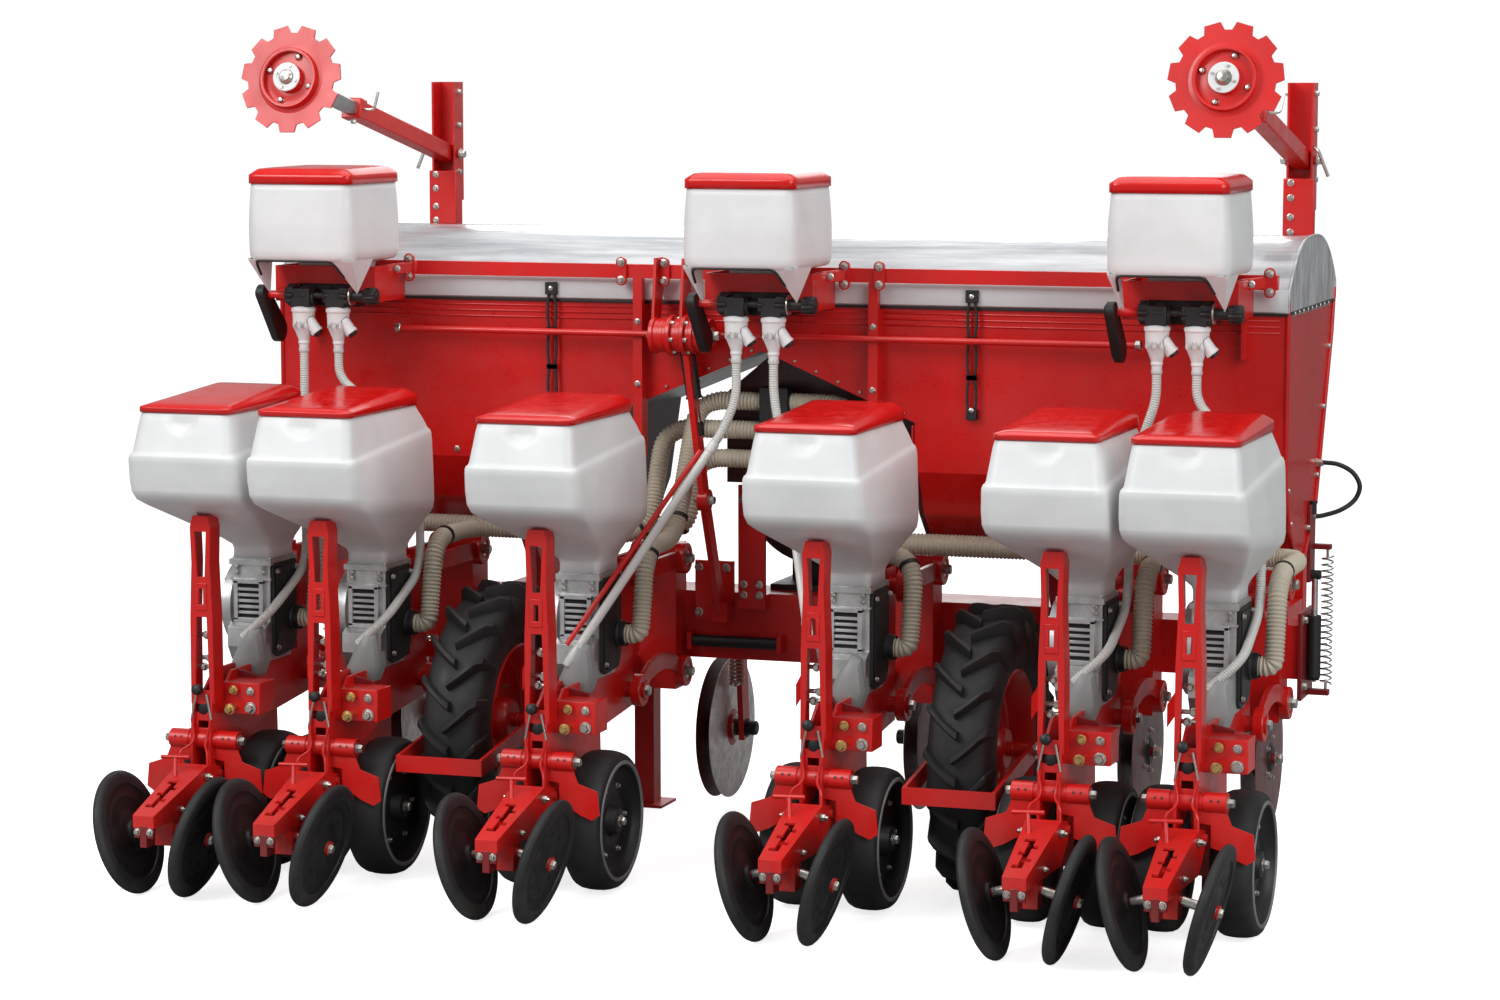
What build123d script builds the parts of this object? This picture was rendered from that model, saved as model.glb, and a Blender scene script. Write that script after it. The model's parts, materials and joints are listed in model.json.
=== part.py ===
"""Six-row precision seeder with a fertilizer hopper, standing on its wheels and parking stands.

Millimetres. +X is the machine's right, +Y its travel direction, +Z up.
While modelling, y = 0 is the rear face of the row masts and z = 0 the ground.
Everything is finally moved so that the origin is the centre of the footprint.
"""
import math
import os

from build123d import *

# Rows: distance of each row from the machine's centre line
ROW_INNER = 375.0
ROW_STEP_MIDDLE = 616.0
ROW_STEP_OUTER = 344.0
ROWS = [side * x for side in (-1, 1)
        for x in (ROW_INNER, ROW_INNER + ROW_STEP_MIDDLE, ROW_INNER + ROW_STEP_MIDDLE + ROW_STEP_OUTER)]
ROWS.sort()

RUN_GAP = 0.3            # radial clearance of every turning pair
SEAT_GAP = 0.3           # clearance of a lid on its rim

# Gauge wheels, a pair on one axle in each row
GAUGE_R = 185.0
GAUGE_W = 115.0
GAUGE_INNER_X = 44.0
GAUGE_Y = 205.0
GAUGE_AXLE_R = 15.0
GAUGE_DISH_R = 150.0
GAUGE_DISH_DEPTH = 34.0
GAUGE_HUB_R = 38.0

# Press wheels, leaning outwards at the top
PRESS_R = 165.0
PRESS_W = 30.0
PRESS_LEAN = 15.0
PRESS_X = 107.0
PRESS_Y = -225.0
PRESS_AXLE_R = 10.0
PRESS_HUB_R = 26.0

# Ground drive wheels
DRIVE_R = 380.0
DRIVE_W = 170.0
DRIVE_X = 700.0
DRIVE_Y = 520.0
DRIVE_RIM_R = 205.0
DRIVE_AXLE_R = 20.0
LUGS = 19                # bars on each half of a drive tyre
LUG_H = 28.0             # height of a bar at the tyre's middle
# columns: x from the tyre's middle, degrees behind the arrow's tip, base radius, tip radius, half width
LUG_RUN = [(-7.0, 0.0, -42.0, -2.5, 11.0), (64.0, 9.4, -50.0, -0.5, 12.0), (87.0, 13.6, -80.0, -34.0, 13.0)]
DRIVE_SIDE_GAP = 28.0

# Row unit frame
SIDE_PLATE_X = 30.0      # outer face of each side plate
SIDE_PLATE_T = 8.0
TUBE_R = 22.5
TUBE_LENGTH = 200.0
TUBE_Y = 14.0
TUBE_Z = 372.0
MAST_TOP = 975.0
MAST_FOOT = 470.0
MAST_DEPTH = 58.0
MAST_T = 6.0
LINK_X = 62.0            # middle of each parallel link
LINK_W = 14.0
LINK_H = 46.0
LINK_REAR_Y = 585.0
LINK_UPPER_Z = 790.0
LINK_LOWER_Z = 470.0
LINK_BOSS_R = 44.0
LINK_ARCH = 52.0         # rise of the lower link

# Arm that carries the press wheels
ARM_REAR_Y = -347.0      # its end over the press wheels
ARM_ROOT_Y = -60.0
ARM_T = 6.0
ARM_PIVOT_Y = 4.0
ARM_PIVOT_Z = 284.0
ARM_PIN_R = 11.0

# Main beam
BEAM_Y0 = 1000.0
BEAM_Y1 = 1170.0
BEAM_Z0 = 500.0
BEAM_Z1 = 690.0
BEAM_HALF = 860.0
BEAM_WALL = 12.0
SLIDE_HALF = 1420.0      # half length of the sliding bars in the beam's ends
SLIDE_INSET = 22.0

# Seed hoppers: named sections from the neck up to the rim
# columns: half width, rear y, z at rear y, front y, z at front y, corner radius
NECK_Z = 825.0
RIM_Z = 1256.0
HOPPER_SECTIONS = [
    (58.0, 300.0, NECK_Z, 452.0, NECK_Z, 14.0),
    (60.0, 298.0, NECK_Z + 30, 454.0, NECK_Z + 30, 14.0),
    (160.0, -98.0, 1034.0, 424.0, 976.0, 26.0),
    (156.0, -122.0, 1140.0, 416.0, 1184.0, 26.0),
    (146.0, -112.0, 1150.0, 408.0, 1194.0, 24.0),
    (131.0, -84.0, RIM_Z, 362.0, RIM_Z, 22.0),
]
HOPPER_WALL = 6.0
LID_SKIRT = 4.0          # how far the lid overhangs the rim
LID_FRONT_T = 46.0
LID_REAR_T = 22.0
LID_WALL = 4.0
LID_CHAMFER = 26.0
HINGE_R = 4.0
HINGE_KNUCKLE_R = 9.0
HINGE_HALF = 45.0
HINGE_LUG_T = 8.0
HINGE_OUT = 30.0         # hinge pin in front of the rim
HINGE_DROP = 12.0        # hinge pin below the rim

# Seed meter under each hopper
METER_HALF = 57.0
METER_BOTTOM = 545.0

# Granule hoppers on the rear rail
GRANULE_X = [-1195.0, 62.0, 1195.0]
GRANULE_RIM_Z = 1845.0
GRANULE_SECTIONS = [
    (84.0, 522.0, 1570.0, 638.0, 1570.0, 12.0),
    (92.0, 514.0, 1624.0, 646.0, 1624.0, 14.0),
    (148.0, 340.0, 1636.0, 664.0, 1636.0, 40.0),
    (160.0, 328.0, 1662.0, 672.0, 1662.0, 44.0),
    (160.0, 328.0, 1730.0, 672.0, 1730.0, 40.0),
    (150.0, 336.0, GRANULE_RIM_Z, 664.0, GRANULE_RIM_Z, 26.0),
]
GRANULE_WALL = 5.0
GRANULE_BAND = 3         # section whose front edge stands against the rail's pad
GRANULE_LID_T = 42.0
CUP_X = 52.0
CUP_Y = 470.0
CUP_R = 31.0
CUP_TOP_Z = 1505.0
CUP_OUTLET_Z = 1385.0
CUP_OUTLET_R = 12.0

# Rail that carries the granule hoppers, with a tray round each funnel
TRAY_HALF = 150.0
TRAY_T = 5.0
TRAY_Y = 500.0
TRAY_Z0 = 1518.0
TRAY_Z1 = 1616.0
RAIL_Y0 = 676.0
RAIL_Y1 = 700.0
RAIL_Z0 = 1588.0
RAIL_Z1 = 1626.0
RAIL_HALF = 1330.0
RAIL_POST_X = [-345.0, 325.0]
RAIL_POST_W = 26.0

# Drive leg between the rail and the beam
LEG_HUB = (640.0, 1438.0)
LEG_HUB_R = 46.0
LEG_HUB_X = (-281.0, -117.0)
LEG_PLATES_X = (-286.0, -206.0)
LEG_KNEE = (-160.0, 700.0, 985.0)
LEG_FOOT = (-200.0, 952.0, 640.0)
DRIVE_ROD_R = 9.0
DRIVE_ROD_Y = 668.0

# Fertilizer hopper: profile columns are y, z, from the rear rim round the bottom to the front rim
TANK_HALF = 1430.0
TANK_WALL = 5.0
TANK_RIM_Z = 1560.0
TANK_REAR_Y = 720.0
TANK_FRONT_Y = 1400.0
TANK_PROFILE = [
    (TANK_REAR_Y, TANK_RIM_Z), (TANK_REAR_Y, 1080.0), (TANK_REAR_Y + 60, 960.0), (890.0, 862.0),
    (1010.0, 862.0), (1167.0, 993.0), (1372.0, 1441.0), (TANK_FRONT_Y, TANK_RIM_Z),
]
TUNNEL_APEX_Z = 1395.0
TUNNEL_KNEE_X = 430.0
TUNNEL_KNEE_Z = 1212.0
TUNNEL_FOOT_X = 424.0
PANEL_Y = 930.0          # upright panel in the tunnel between the bins
COVER_TOP_Z = 1715.0
COVER_HEM_Z = 1526.0
COVER_T = 5.0

# Markers
MARKER_X = 1300.0
MARKER_Y = 1600.0
MARKER_PIVOT_Z = 640.0
MARKER_POST_TOP = 1900.0
MARKER_POST_W = 60.0
MARKER_ARM_REACH = 1075.0
MARKER_ARM_RISE = 226.0
MARKER_ARM_W = 50.0
MARKER_DISC_R = 150.0
MARKER_TEETH = 11
MARKER_DRUM_R = 82.0
MARKER_PIN_R = 12.0

# Fertilizer coulters ahead of the rows
COULTER_OFFSET = 85.0
COULTER_R = 205.0
COULTER_T = 6.0
COULTER_Y = 1310.0
COULTER_Z = 248.0
COULTER_HUB_R = 34.0
COULTER_AXLE_R = 14.0
COULTER_PAIR = 40.0      # from the steel disc to its depth disc

# Parking stands
STAND_X = 560.0
STAND_Y = 1330.0
STAND_PIVOT_Z = 420.0
STAND_W = 60.0
STAND_FOOT = 130.0
STAND_PIN_R = 12.0

# Three-point hitch
HITCH_PIN_SPAN = 825.0
HITCH_PIN_R = 14.0
HITCH_PIN_Y = 1640.0
HITCH_PIN_Z = 560.0
HITCH_PIN_LENGTH = 65.0
HITCH_TOP_Z = 1130.0
HITCH_TOP_Y = 1535.0
HITCH_TOP_R = 12.75

FAN_R = 205.0
FAN_Y0 = 1190.0
FAN_Y1 = 1330.0
FAN_Z = 960.0
HOSE_R = 26.0
HOSE_BEND = 48.0
HOSE_PORT_Y = 420.0      # hose enters the meter's right face here
HOSE_PORT_Z = 650.0
HOSE_SIDE = 130.0        # hose comes down this far to the right of its row
HOSE_LOW_Z = 880.0
MANIFOLD_HALF = 40.0
MANIFOLD_Y = 846.0
# columns: height at the manifold, x where the hose turns down, y of its run along the machine; inner row first
HOSE_RUNS = [(1246.0, 230.0, 650.0), (1166.0, 330.0, 725.0), (1086.0, 240.0, 790.0)]
SEED_TUBE_R = 12.0
TUBE_SIDE = 84.0         # outer rows' tubes come down this far to the right of their row
TUBE_DOWN_Y = 474.0
PTO_R = 17.5
HITCH_PLATE_Y = 986.0    # rear face of the hitch frame's plates on the beam


def block(x0, x1, y0, y1, z0, z1):
    """A box between two corners."""
    return Pos((x0 + x1) / 2, (y0 + y1) / 2, (z0 + z1) / 2) * Box(x1 - x0, y1 - y0, z1 - z0)


def rod(p, q, radius):
    """A round bar from p to q."""
    p, q = Vector(*p), Vector(*q)
    plane = Plane(origin=p, z_dir=(q - p).normalized())
    return extrude(plane * Circle(radius), amount=(q - p).length)


def bar(p, q, width, height):
    """A flat bar from p to q: width across X, height across its run."""
    p, q = Vector(*p), Vector(*q)
    plane = Plane(origin=p, x_dir=(1, 0, 0), z_dir=(q - p).normalized())
    return extrude(plane * Rectangle(width, height), amount=(q - p).length)


def side_plate(points, x0, x1):
    """A plate with its outline given as y, z points, from x0 to x1."""
    return extrude(Plane.YZ.offset(x0) * Polygon(*points, align=None), amount=x1 - x0, dir=(1, 0, 0))


def turned(points):
    """A solid of revolution about X from x, radius points."""
    return revolve(make_face(Polyline(*points, close=True)), Axis.X)


def section(half, y0, z0, y1, z1, corner):
    """A rounded rectangle from y0, z0 at its rear edge to y1, z1 at its front edge."""
    length = math.hypot(y1 - y0, z1 - z0)
    plane = Plane(origin=(0, (y0 + y1) / 2, (z0 + z1) / 2), x_dir=(1, 0, 0),
                  z_dir=(0, -(z1 - z0) / length, (y1 - y0) / length))
    return plane * RectangleRounded(2 * half, length, corner)


def shrunk(row, wall):
    """A hopper section moved in by the wall."""
    half, y0, z0, y1, z1, corner = row
    return (half - wall, y0 + wall, z0, y1 - wall, z1, max(corner - wall, 2.0))


def hollow_loft(rows, wall):
    """An open-topped tank through the sections, open at its neck too."""
    outer = loft([section(*row) for row in rows], ruled=True)
    inner = loft([section(*shrunk(row, wall)) for row in rows], ruled=True)
    return outer - inner


def hinge_lugs(x, y, z, back_y):
    """A lid's hinge pin in two lugs that stand on a tank's front wall."""
    lugs = rod((x - HINGE_HALF - HINGE_LUG_T, y, z), (x + HINGE_HALF + HINGE_LUG_T, y, z), HINGE_R)
    for sign in (-1, 1):
        x0 = x + sign * (HINGE_HALF + HINGE_LUG_T / 2) - HINGE_LUG_T / 2
        lugs += block(x0, x0 + HINGE_LUG_T, back_y, y + HINGE_KNUCKLE_R, z - HINGE_KNUCKLE_R, z + HINGE_KNUCKLE_R)
    return lugs


# Wheels
def gauge_wheel_pair():
    """Two broad wheels, dished outside, on one axle through the row's arm."""
    r, w, s = GAUGE_R, GAUGE_W, GAUGE_INNER_X
    profile = [
        (s, 0), (s, GAUGE_HUB_R + 60), (s + 8, r - 22), (s + 22, r - 4), (s + w / 2, r),
        (s + w - 22, r - 4), (s + w - 6, r - 18), (s + w, GAUGE_DISH_R + 8), (s + w, GAUGE_DISH_R),
        (s + w - GAUGE_DISH_DEPTH, GAUGE_DISH_R - 14), (s + w - GAUGE_DISH_DEPTH, GAUGE_HUB_R),
        (s + w - 8, GAUGE_HUB_R - 6), (s + w - 8, 0),
    ]
    right = turned(profile)
    left = mirror(right, Plane.YZ)
    axle = rod((-s - 1, 0, 0), (s + 1, 0, 0), GAUGE_AXLE_R)
    return right + left + axle


def press_wheel(side):
    """A narrow wheel with a round tread on a flat disc, leaning outwards at its top."""
    r, w, hub = PRESS_R, PRESS_W, PRESS_HUB_R
    bore = PRESS_AXLE_R + RUN_GAP
    profile = [
        (-w / 2 - 6, bore), (w / 2, bore), (w / 2, hub), (5, hub + 6), (5, r - 34), (w / 2, r - 24),
        (w / 2, r - 12), (w / 4, r - 2), (0, r), (-w / 4, r - 2), (-w / 2, r - 12), (-w / 2, r - 24),
        (-5, r - 34), (-5, hub + 6), (-w / 2 - 6, hub),
    ]
    wheel = turned([(side * x, radius) for x, radius in profile])
    return Rot(0, side * PRESS_LEAN, 0) * wheel


PRESS_Z = -press_wheel(1).bounding_box().min.Z


def press_centre(row, side):
    return (row + side * PRESS_X, PRESS_Y, PRESS_Z)


def press_axis(side):
    lean = math.radians(PRESS_LEAN)
    return (side * math.cos(lean), 0.0, -math.sin(lean))


def tyre_lug():
    """One bar of the tread, from the tyre's middle out over its shoulder."""
    faces = []
    for x, behind, base, tip, half in LUG_RUN:
        turn = math.radians(behind)
        out = Vector(0, math.sin(turn), math.cos(turn))
        along = Vector(0, math.cos(turn), -math.sin(turn))
        corners = [out * (DRIVE_R + base) - along * half, out * (DRIVE_R + base) + along * half,
                   out * (DRIVE_R + tip) + along * half * 0.6, out * (DRIVE_R + tip) - along * half * 0.6]
        faces.append(make_face(Polyline(*[Vector(x, c.Y, c.Z) for c in corners], close=True)))
    return loft(faces, ruled=True)


def drive_wheel():
    """A ground drive wheel: casing with arrow lugs, on a dished rim with a hub."""
    r, w, rim, bore = DRIVE_R, DRIVE_W, DRIVE_RIM_R, DRIVE_AXLE_R + RUN_GAP
    tread = r - LUG_H
    tyre = turned([
        (-w / 2, rim + 30), (-w / 2, tread - 52), (-w / 2 + 11, tread - 14), (-w / 4, tread), (w / 4, tread),
        (w / 2 - 11, tread - 14), (w / 2, tread - 52), (w / 2, rim + 30), (w / 2 - 16, rim), (-w / 2 + 16, rim),
    ])
    right = tyre_lug()
    left = mirror(right, Plane.YZ)
    bars = []
    for k in range(LUGS):
        bars.append(Rot(360 * k / LUGS, 0, 0) * left)
        bars.append(Rot(360 * (k + 0.5) / LUGS, 0, 0) * right)
    tyre = tyre.fuse(*bars)
    disc = turned([
        (-w / 2 + 16, rim), (-w / 2 + 16, rim - 12), (-12, rim - 30), (-12, 60), (-46, 52), (-46, bore),
        (46, bore), (46, 52), (0, 60), (0, rim - 26), (w / 2 - 16, rim - 12), (w / 2 - 16, rim),
    ])
    return tyre + disc


# Row units
def unit_frame(beam_face):
    """Side plates, mast, cross tube, parallel links and the bracket on the beam."""
    inner = SIDE_PLATE_X - SIDE_PLATE_T
    outline = [
        (-18, TUBE_Z - 8), (-18, ARM_PIVOT_Z - 22), (24, ARM_PIVOT_Z - 22), (60, 300), (150, 345), (330, 392),
        (LINK_REAR_Y + 46, LINK_LOWER_Z - 50),
        (LINK_REAR_Y + 46, LINK_UPPER_Z + 46), (LINK_REAR_Y - 40, LINK_UPPER_Z + 46),
        (LINK_REAR_Y - 66, METER_BOTTOM + 40), (LINK_REAR_Y - 66, METER_BOTTOM), (120, METER_BOTTOM),
        (62, MAST_FOOT + 30), (0, MAST_FOOT + 30),
    ]
    frame = mast()
    for sign in (-1, 1):
        x0, x1 = sorted((sign * inner, sign * SIDE_PLATE_X))
        frame += side_plate(outline, x0, x1)
    frame -= rod((-60, ARM_PIVOT_Y, ARM_PIVOT_Z), (60, ARM_PIVOT_Y, ARM_PIVOT_Z), ARM_PIN_R + RUN_GAP)
    frame += rod((-TUBE_LENGTH / 2, TUBE_Y, TUBE_Z), (TUBE_LENGTH / 2, TUBE_Y, TUBE_Z), TUBE_R)
    frame += gauge_arm()
    flap = Polygon((SIDE_PLATE_X - 4, TUBE_Z - 14), (96, TUBE_Z - 14), (112, 318), (GAUGE_INNER_X + GAUGE_W + 6, 300),
                   (GAUGE_INNER_X + GAUGE_W + 12, 238), (150, 224), (118, 236), (88, 254), (60, 262), (60, 318),
                   (SIDE_PLATE_X - 4, 322), align=None)
    right = extrude(Plane.XZ.offset(-2) * flap, amount=5, dir=(0, 1, 0))
    frame += right
    frame += mirror(right, Plane.YZ)
    frame += block(-inner - 1, inner + 1, 250, 420, 400, 440)
    frame += side_plate([(262, 430), (420, 430), (430, 200), (390, 70), (310, 24), (256, 24), (262, 200)], -14, 14)
    for z_rear, z_front in ((LINK_UPPER_Z, LINK_UPPER_Z), (LINK_LOWER_Z, LINK_LOWER_Z)):
        frame += rod((-LINK_X - 24, LINK_REAR_Y, z_rear), (LINK_X + 24, LINK_REAR_Y, z_rear), LINK_BOSS_R / 2)
        for sign in (-1, 1):
            rear = (sign * LINK_X, LINK_REAR_Y, z_rear)
            front = (sign * LINK_X, BEAM_Y0 - 60, z_front)
            if z_rear == LINK_UPPER_Z:
                frame += bar(rear, front, LINK_W, LINK_H)
            else:
                frame += arched_link(sign * LINK_X)
            frame += rod((sign * (LINK_X - 8), *rear[1:]), (sign * (LINK_X + 16), *rear[1:]), LINK_BOSS_R)
            frame += rod((sign * (LINK_X - 8), *front[1:]), (sign * (LINK_X + 16), *front[1:]), LINK_BOSS_R)
    frame += block(-LINK_X + 7, LINK_X - 7, BEAM_Y0 - 90, beam_face, LINK_LOWER_Z - 50, LINK_UPPER_Z + 40)
    return frame


def arched_link(x):
    """Lower parallel link, arched over its middle."""
    y0, y1, z, h = LINK_REAR_Y, BEAM_Y0 - 60, LINK_LOWER_Z, LINK_H / 2
    upper, lower = [], []
    for k in range(9):
        u = k / 8
        lift = LINK_ARCH * 4 * u * (1 - u)
        upper.append((y0 + u * (y1 - y0), z + lift + h))
        lower.append((y0 + u * (y1 - y0), z + lift - h))
    return side_plate(upper + lower[::-1], x - LINK_W / 2, x + LINK_W / 2)


def under_hopper(y):
    """Height of the seed hopper's sloping underside at y."""
    y0, z0 = HOPPER_SECTIONS[1][1:3]
    y1, z1 = HOPPER_SECTIONS[2][1:3]
    return z0 + (y - y0) * (z1 - z0) / (y1 - y0)


def mast():
    """Pressed channel under the hopper: a face with windows, and two flanges."""
    outline = Polygon((-34, MAST_FOOT), (34, MAST_FOOT), (33, 700), (27, 850), (30, MAST_TOP - 30),
                      (22, MAST_TOP), (-22, MAST_TOP), (-30, MAST_TOP - 30), (-27, 850), (-33, 700), align=None)
    channel = extrude(Plane.XZ * outline, amount=MAST_DEPTH, dir=(0, 1, 0))
    core = Plane.XZ.offset(-MAST_T) * offset(outline, -MAST_T)
    channel -= extrude(core, amount=MAST_DEPTH, dir=(0, 1, 0))
    for z0, half0, z1, half1 in ((MAST_FOOT + 36, 21.0, 704.0, 15.0), (738.0, 6.0, 780.0, 6.0),
                                 (812.0, 11.0, MAST_TOP - 42, 17.0)):
        window = Polygon((-half0, z0), (half0, z0), (half1, z1), (-half1, z1), align=None)
        channel -= extrude(Plane.XZ.offset(1) * window, amount=MAST_T + 2, dir=(0, 1, 0))
    far = MAST_DEPTH + 20
    channel -= side_plate([(-10, under_hopper(-10)), (far, under_hopper(far)), (far, MAST_TOP + 80),
                           (-10, MAST_TOP + 80)], -60, 60)
    return channel


def gauge_arm():
    """Block between the gauge wheels that holds their axle."""
    half = GAUGE_INNER_X - 4
    arm = side_plate([(GAUGE_Y - 40, GAUGE_R - 30), (GAUGE_Y + 40, GAUGE_R - 30), (GAUGE_Y + 60, 420),
                      (GAUGE_Y - 20, 420)], -SIDE_PLATE_X + 5, SIDE_PLATE_X - 5)
    arm += rod((-half, GAUGE_Y, GAUGE_R), (half, GAUGE_Y, GAUGE_R), GAUGE_AXLE_R + 14)
    arm -= rod((-half - 1, GAUGE_Y, GAUGE_R), (half + 1, GAUGE_Y, GAUGE_R), GAUGE_AXLE_R + RUN_GAP)
    return arm


def closing_arm():
    """Hollow arm that carries the press wheels, with a notched gate in its top."""
    def taper(end, root, y0, y1):
        faces = []
        for (half, low, top), y in ((end, y0), (root, y1)):
            outline = Polygon((-half, low), (half, low), (half, top), (-half, top), align=None)
            faces.append(Plane.XZ.offset(-y) * outline)
        return loft(faces, ruled=True)
    t = ARM_T
    arm = taper((30, 200, 232), (45, 205, 318), ARM_REAR_Y, ARM_ROOT_Y)
    arm -= taper((30 - t, 150, 232 - t), (45 - t, 150, 318 - t), ARM_REAR_Y + t, ARM_ROOT_Y + 1)
    for sign in (-1, 1):
        x0, x1 = sorted((sign * (45 - t), sign * 45))
        arm += side_plate([(ARM_ROOT_Y - 2, 206), (ARM_ROOT_Y - 2, 316), (ARM_PIVOT_Y - 14, ARM_PIVOT_Z + 24),
                           (ARM_PIVOT_Y + 18, ARM_PIVOT_Z + 16), (ARM_PIVOT_Y + 18, ARM_PIVOT_Z - 20)], x0, x1)
    for k in range(5):
        y = ARM_REAR_Y + 46 + 32 * k
        x0, x1 = (-6, 20) if k % 2 else (-20, 6)
        arm -= block(x0, x1, y, y + 17, 200, 330)
    arm -= block(-7, 7, ARM_REAR_Y + 46, ARM_REAR_Y + 191, 200, 330)
    arm += rod((-52, ARM_PIVOT_Y, ARM_PIVOT_Z), (52, ARM_PIVOT_Y, ARM_PIVOT_Z), ARM_PIN_R)
    arm += block(-34, 34, PRESS_Y - 26, PRESS_Y + 26, PRESS_Z - 24, 252)
    for side in (-1, 1):
        hub = Vector(side * PRESS_X, PRESS_Y, PRESS_Z)
        way = Vector(*press_axis(side))
        arm += rod(hub - way * (PRESS_X - 18), hub + way * (PRESS_W / 2 + 8), PRESS_AXLE_R)
        arm += rod(hub + way * (PRESS_W / 2 + 1), hub + way * (PRESS_W / 2 + 8), PRESS_AXLE_R + 8)
    return arm


def seed_hopper():
    _, _, _, y1, z1, _ = HOPPER_SECTIONS[-1]
    tank = hollow_loft(HOPPER_SECTIONS, HOPPER_WALL)
    tank += hinge_lugs(0, y1 + HINGE_OUT, z1 - HINGE_DROP, y1 - HOPPER_WALL / 2)
    return tank


def lid(half, y0, y1, z, rear_t, front_t, chamfer):
    """A sloping cap over a rim: its skirt stands proud of the tank and its hinge is in front."""
    z += SEAT_GAP
    h, r0, r1 = half + LID_SKIRT, y0 - LID_SKIRT, y1 + LID_SKIRT
    low = section(h, r0, z, r1, z, 22)
    mid = section(h, r0, z + rear_t * 0.6, r1, z + front_t * 0.7, 22)
    top = section(h - chamfer, r0 + chamfer, z + rear_t, r1 - chamfer, z + front_t, 18)
    shell = loft([low, mid, top], ruled=True)
    w = LID_WALL
    inside = loft([
        section(h - w, r0 + w, z - 1, r1 - w, z - 1, 18),
        section(h - w, r0 + w, z + rear_t * 0.6 - w, r1 - w, z + front_t * 0.7 - w, 18),
        section(h - chamfer - w, r0 + chamfer + w, z + rear_t - w, r1 - chamfer - w, z + front_t - w, 14),
    ], ruled=True)
    shell -= inside
    y, zh = y1 + HINGE_OUT, z - SEAT_GAP - HINGE_DROP
    knuckle = rod((-HINGE_HALF + 1, y, zh), (HINGE_HALF - 1, y, zh), HINGE_KNUCKLE_R)
    knuckle += block(-HINGE_HALF + 1, HINGE_HALF - 1, y1 + LID_SKIRT - w, y + HINGE_KNUCKLE_R - 2, zh + 2, z + 8)
    knuckle -= block(-half, half, y0, y1 + HINGE_OUT / 2, zh - 20, z)
    knuckle -= rod((-HINGE_HALF, y, zh), (HINGE_HALF, y, zh), HINGE_R + RUN_GAP)
    return shell + knuckle


def seed_lid():
    half, y0, _, y1, z1, _ = HOPPER_SECTIONS[-1]
    return lid(half, y0, y1, z1, LID_REAR_T, LID_FRONT_T, LID_CHAMFER)


def seed_meter():
    """Cast meter: body under the neck, round disc case in front, ribbed window at the rear, chute below."""
    _, y0, _, y1, _, _ = HOPPER_SECTIONS[0]
    body = side_plate([(y0, NECK_Z), (y1, NECK_Z), (y1, METER_BOTTOM + 90), (y1 - 30, METER_BOTTOM),
                       (y0 - 10, METER_BOTTOM), (y0 - 34, METER_BOTTOM + 40), (y0 - 34, METER_BOTTOM + 92),
                       (y0, METER_BOTTOM + 110)], -METER_HALF, METER_HALF)
    body += rod((-METER_HALF - 26, 400, 690), (-METER_HALF + 1, 400, 690), 118)
    body -= block(-34, 26, y0 - 1, y0 + 14, 668, 750)
    for k in range(5):
        z = 676 + 15 * k
        body += block(-34, 26, y0 + 3, y0 + 15, z, z + 7)
    return body


# Granule hoppers
def granule_hopper():
    _, _, _, y1, z1, _ = GRANULE_SECTIONS[-1]
    tank = hollow_loft(GRANULE_SECTIONS, GRANULE_WALL)
    tank += hinge_lugs(0, y1 + HINGE_OUT, z1 - HINGE_DROP, y1 - GRANULE_WALL / 2)
    return tank


def granule_lid():
    half, y0, _, y1, z1, _ = GRANULE_SECTIONS[-1]
    return lid(half, y0, y1, z1, GRANULE_LID_T, GRANULE_LID_T, 18)


def granule_cup():
    """Outlet cup: a round body that narrows to its tube."""
    profile = Polyline((0, CUP_OUTLET_Z), (CUP_OUTLET_R, CUP_OUTLET_Z), (CUP_OUTLET_R, CUP_OUTLET_Z + 30),
                       (CUP_R, CUP_TOP_Z - 56), (CUP_R, CUP_TOP_Z), (0, CUP_TOP_Z), close=True)
    return Pos(0, CUP_Y, 0) * revolve(make_face(Plane.XZ * profile), Axis.Z)


def granule_drive(x):
    """Metering block under a granule hopper: two heads over the cups, shaft with star wheels, chain cover."""
    z = (CUP_TOP_Z + GRANULE_SECTIONS[0][2]) / 2
    drive = block(x - 84, x + 84, TRAY_Y + 10, GRANULE_SECTIONS[0][3], CUP_TOP_Z, GRANULE_SECTIONS[0][2])
    for dx in (-CUP_X, CUP_X):
        drive += block(x + dx - 28, x + dx + 28, CUP_Y - 34, TRAY_Y + 11, CUP_TOP_Z, z + 22)
    drive += rod((x - 170, CUP_Y, z), (x + 186, CUP_Y, z), 9)
    for dx, r, w in ((-102, 28, 14), (-7, 24, 14), (88, 28, 14), (152, 22, 34)):
        drive += rod((x + dx, CUP_Y, z), (x + dx + w, CUP_Y, z), r)
    cover = []
    for (y, zc), start in (((CUP_Y - 14, z + 4), 0), ((CUP_Y + 84, z - 104), 180)):
        for k in range(9):
            a = math.radians(start + 45 + 180 * k / 8)
            cover.append((y + 31 * math.cos(a), zc + 31 * math.sin(a)))
    return drive + side_plate(cover, x - 178, x - 156)


def rail_post(x0, x1, z0):
    """Post from the rail down the tank's rear wall, clear of the cover's hem."""
    post = block(x0, x1, RAIL_Y0, RAIL_Y1, z0, RAIL_Z1)
    return post + block(x0, x1, RAIL_Y0, TANK_REAR_Y, z0, COVER_HEM_Z - 10)


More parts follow.
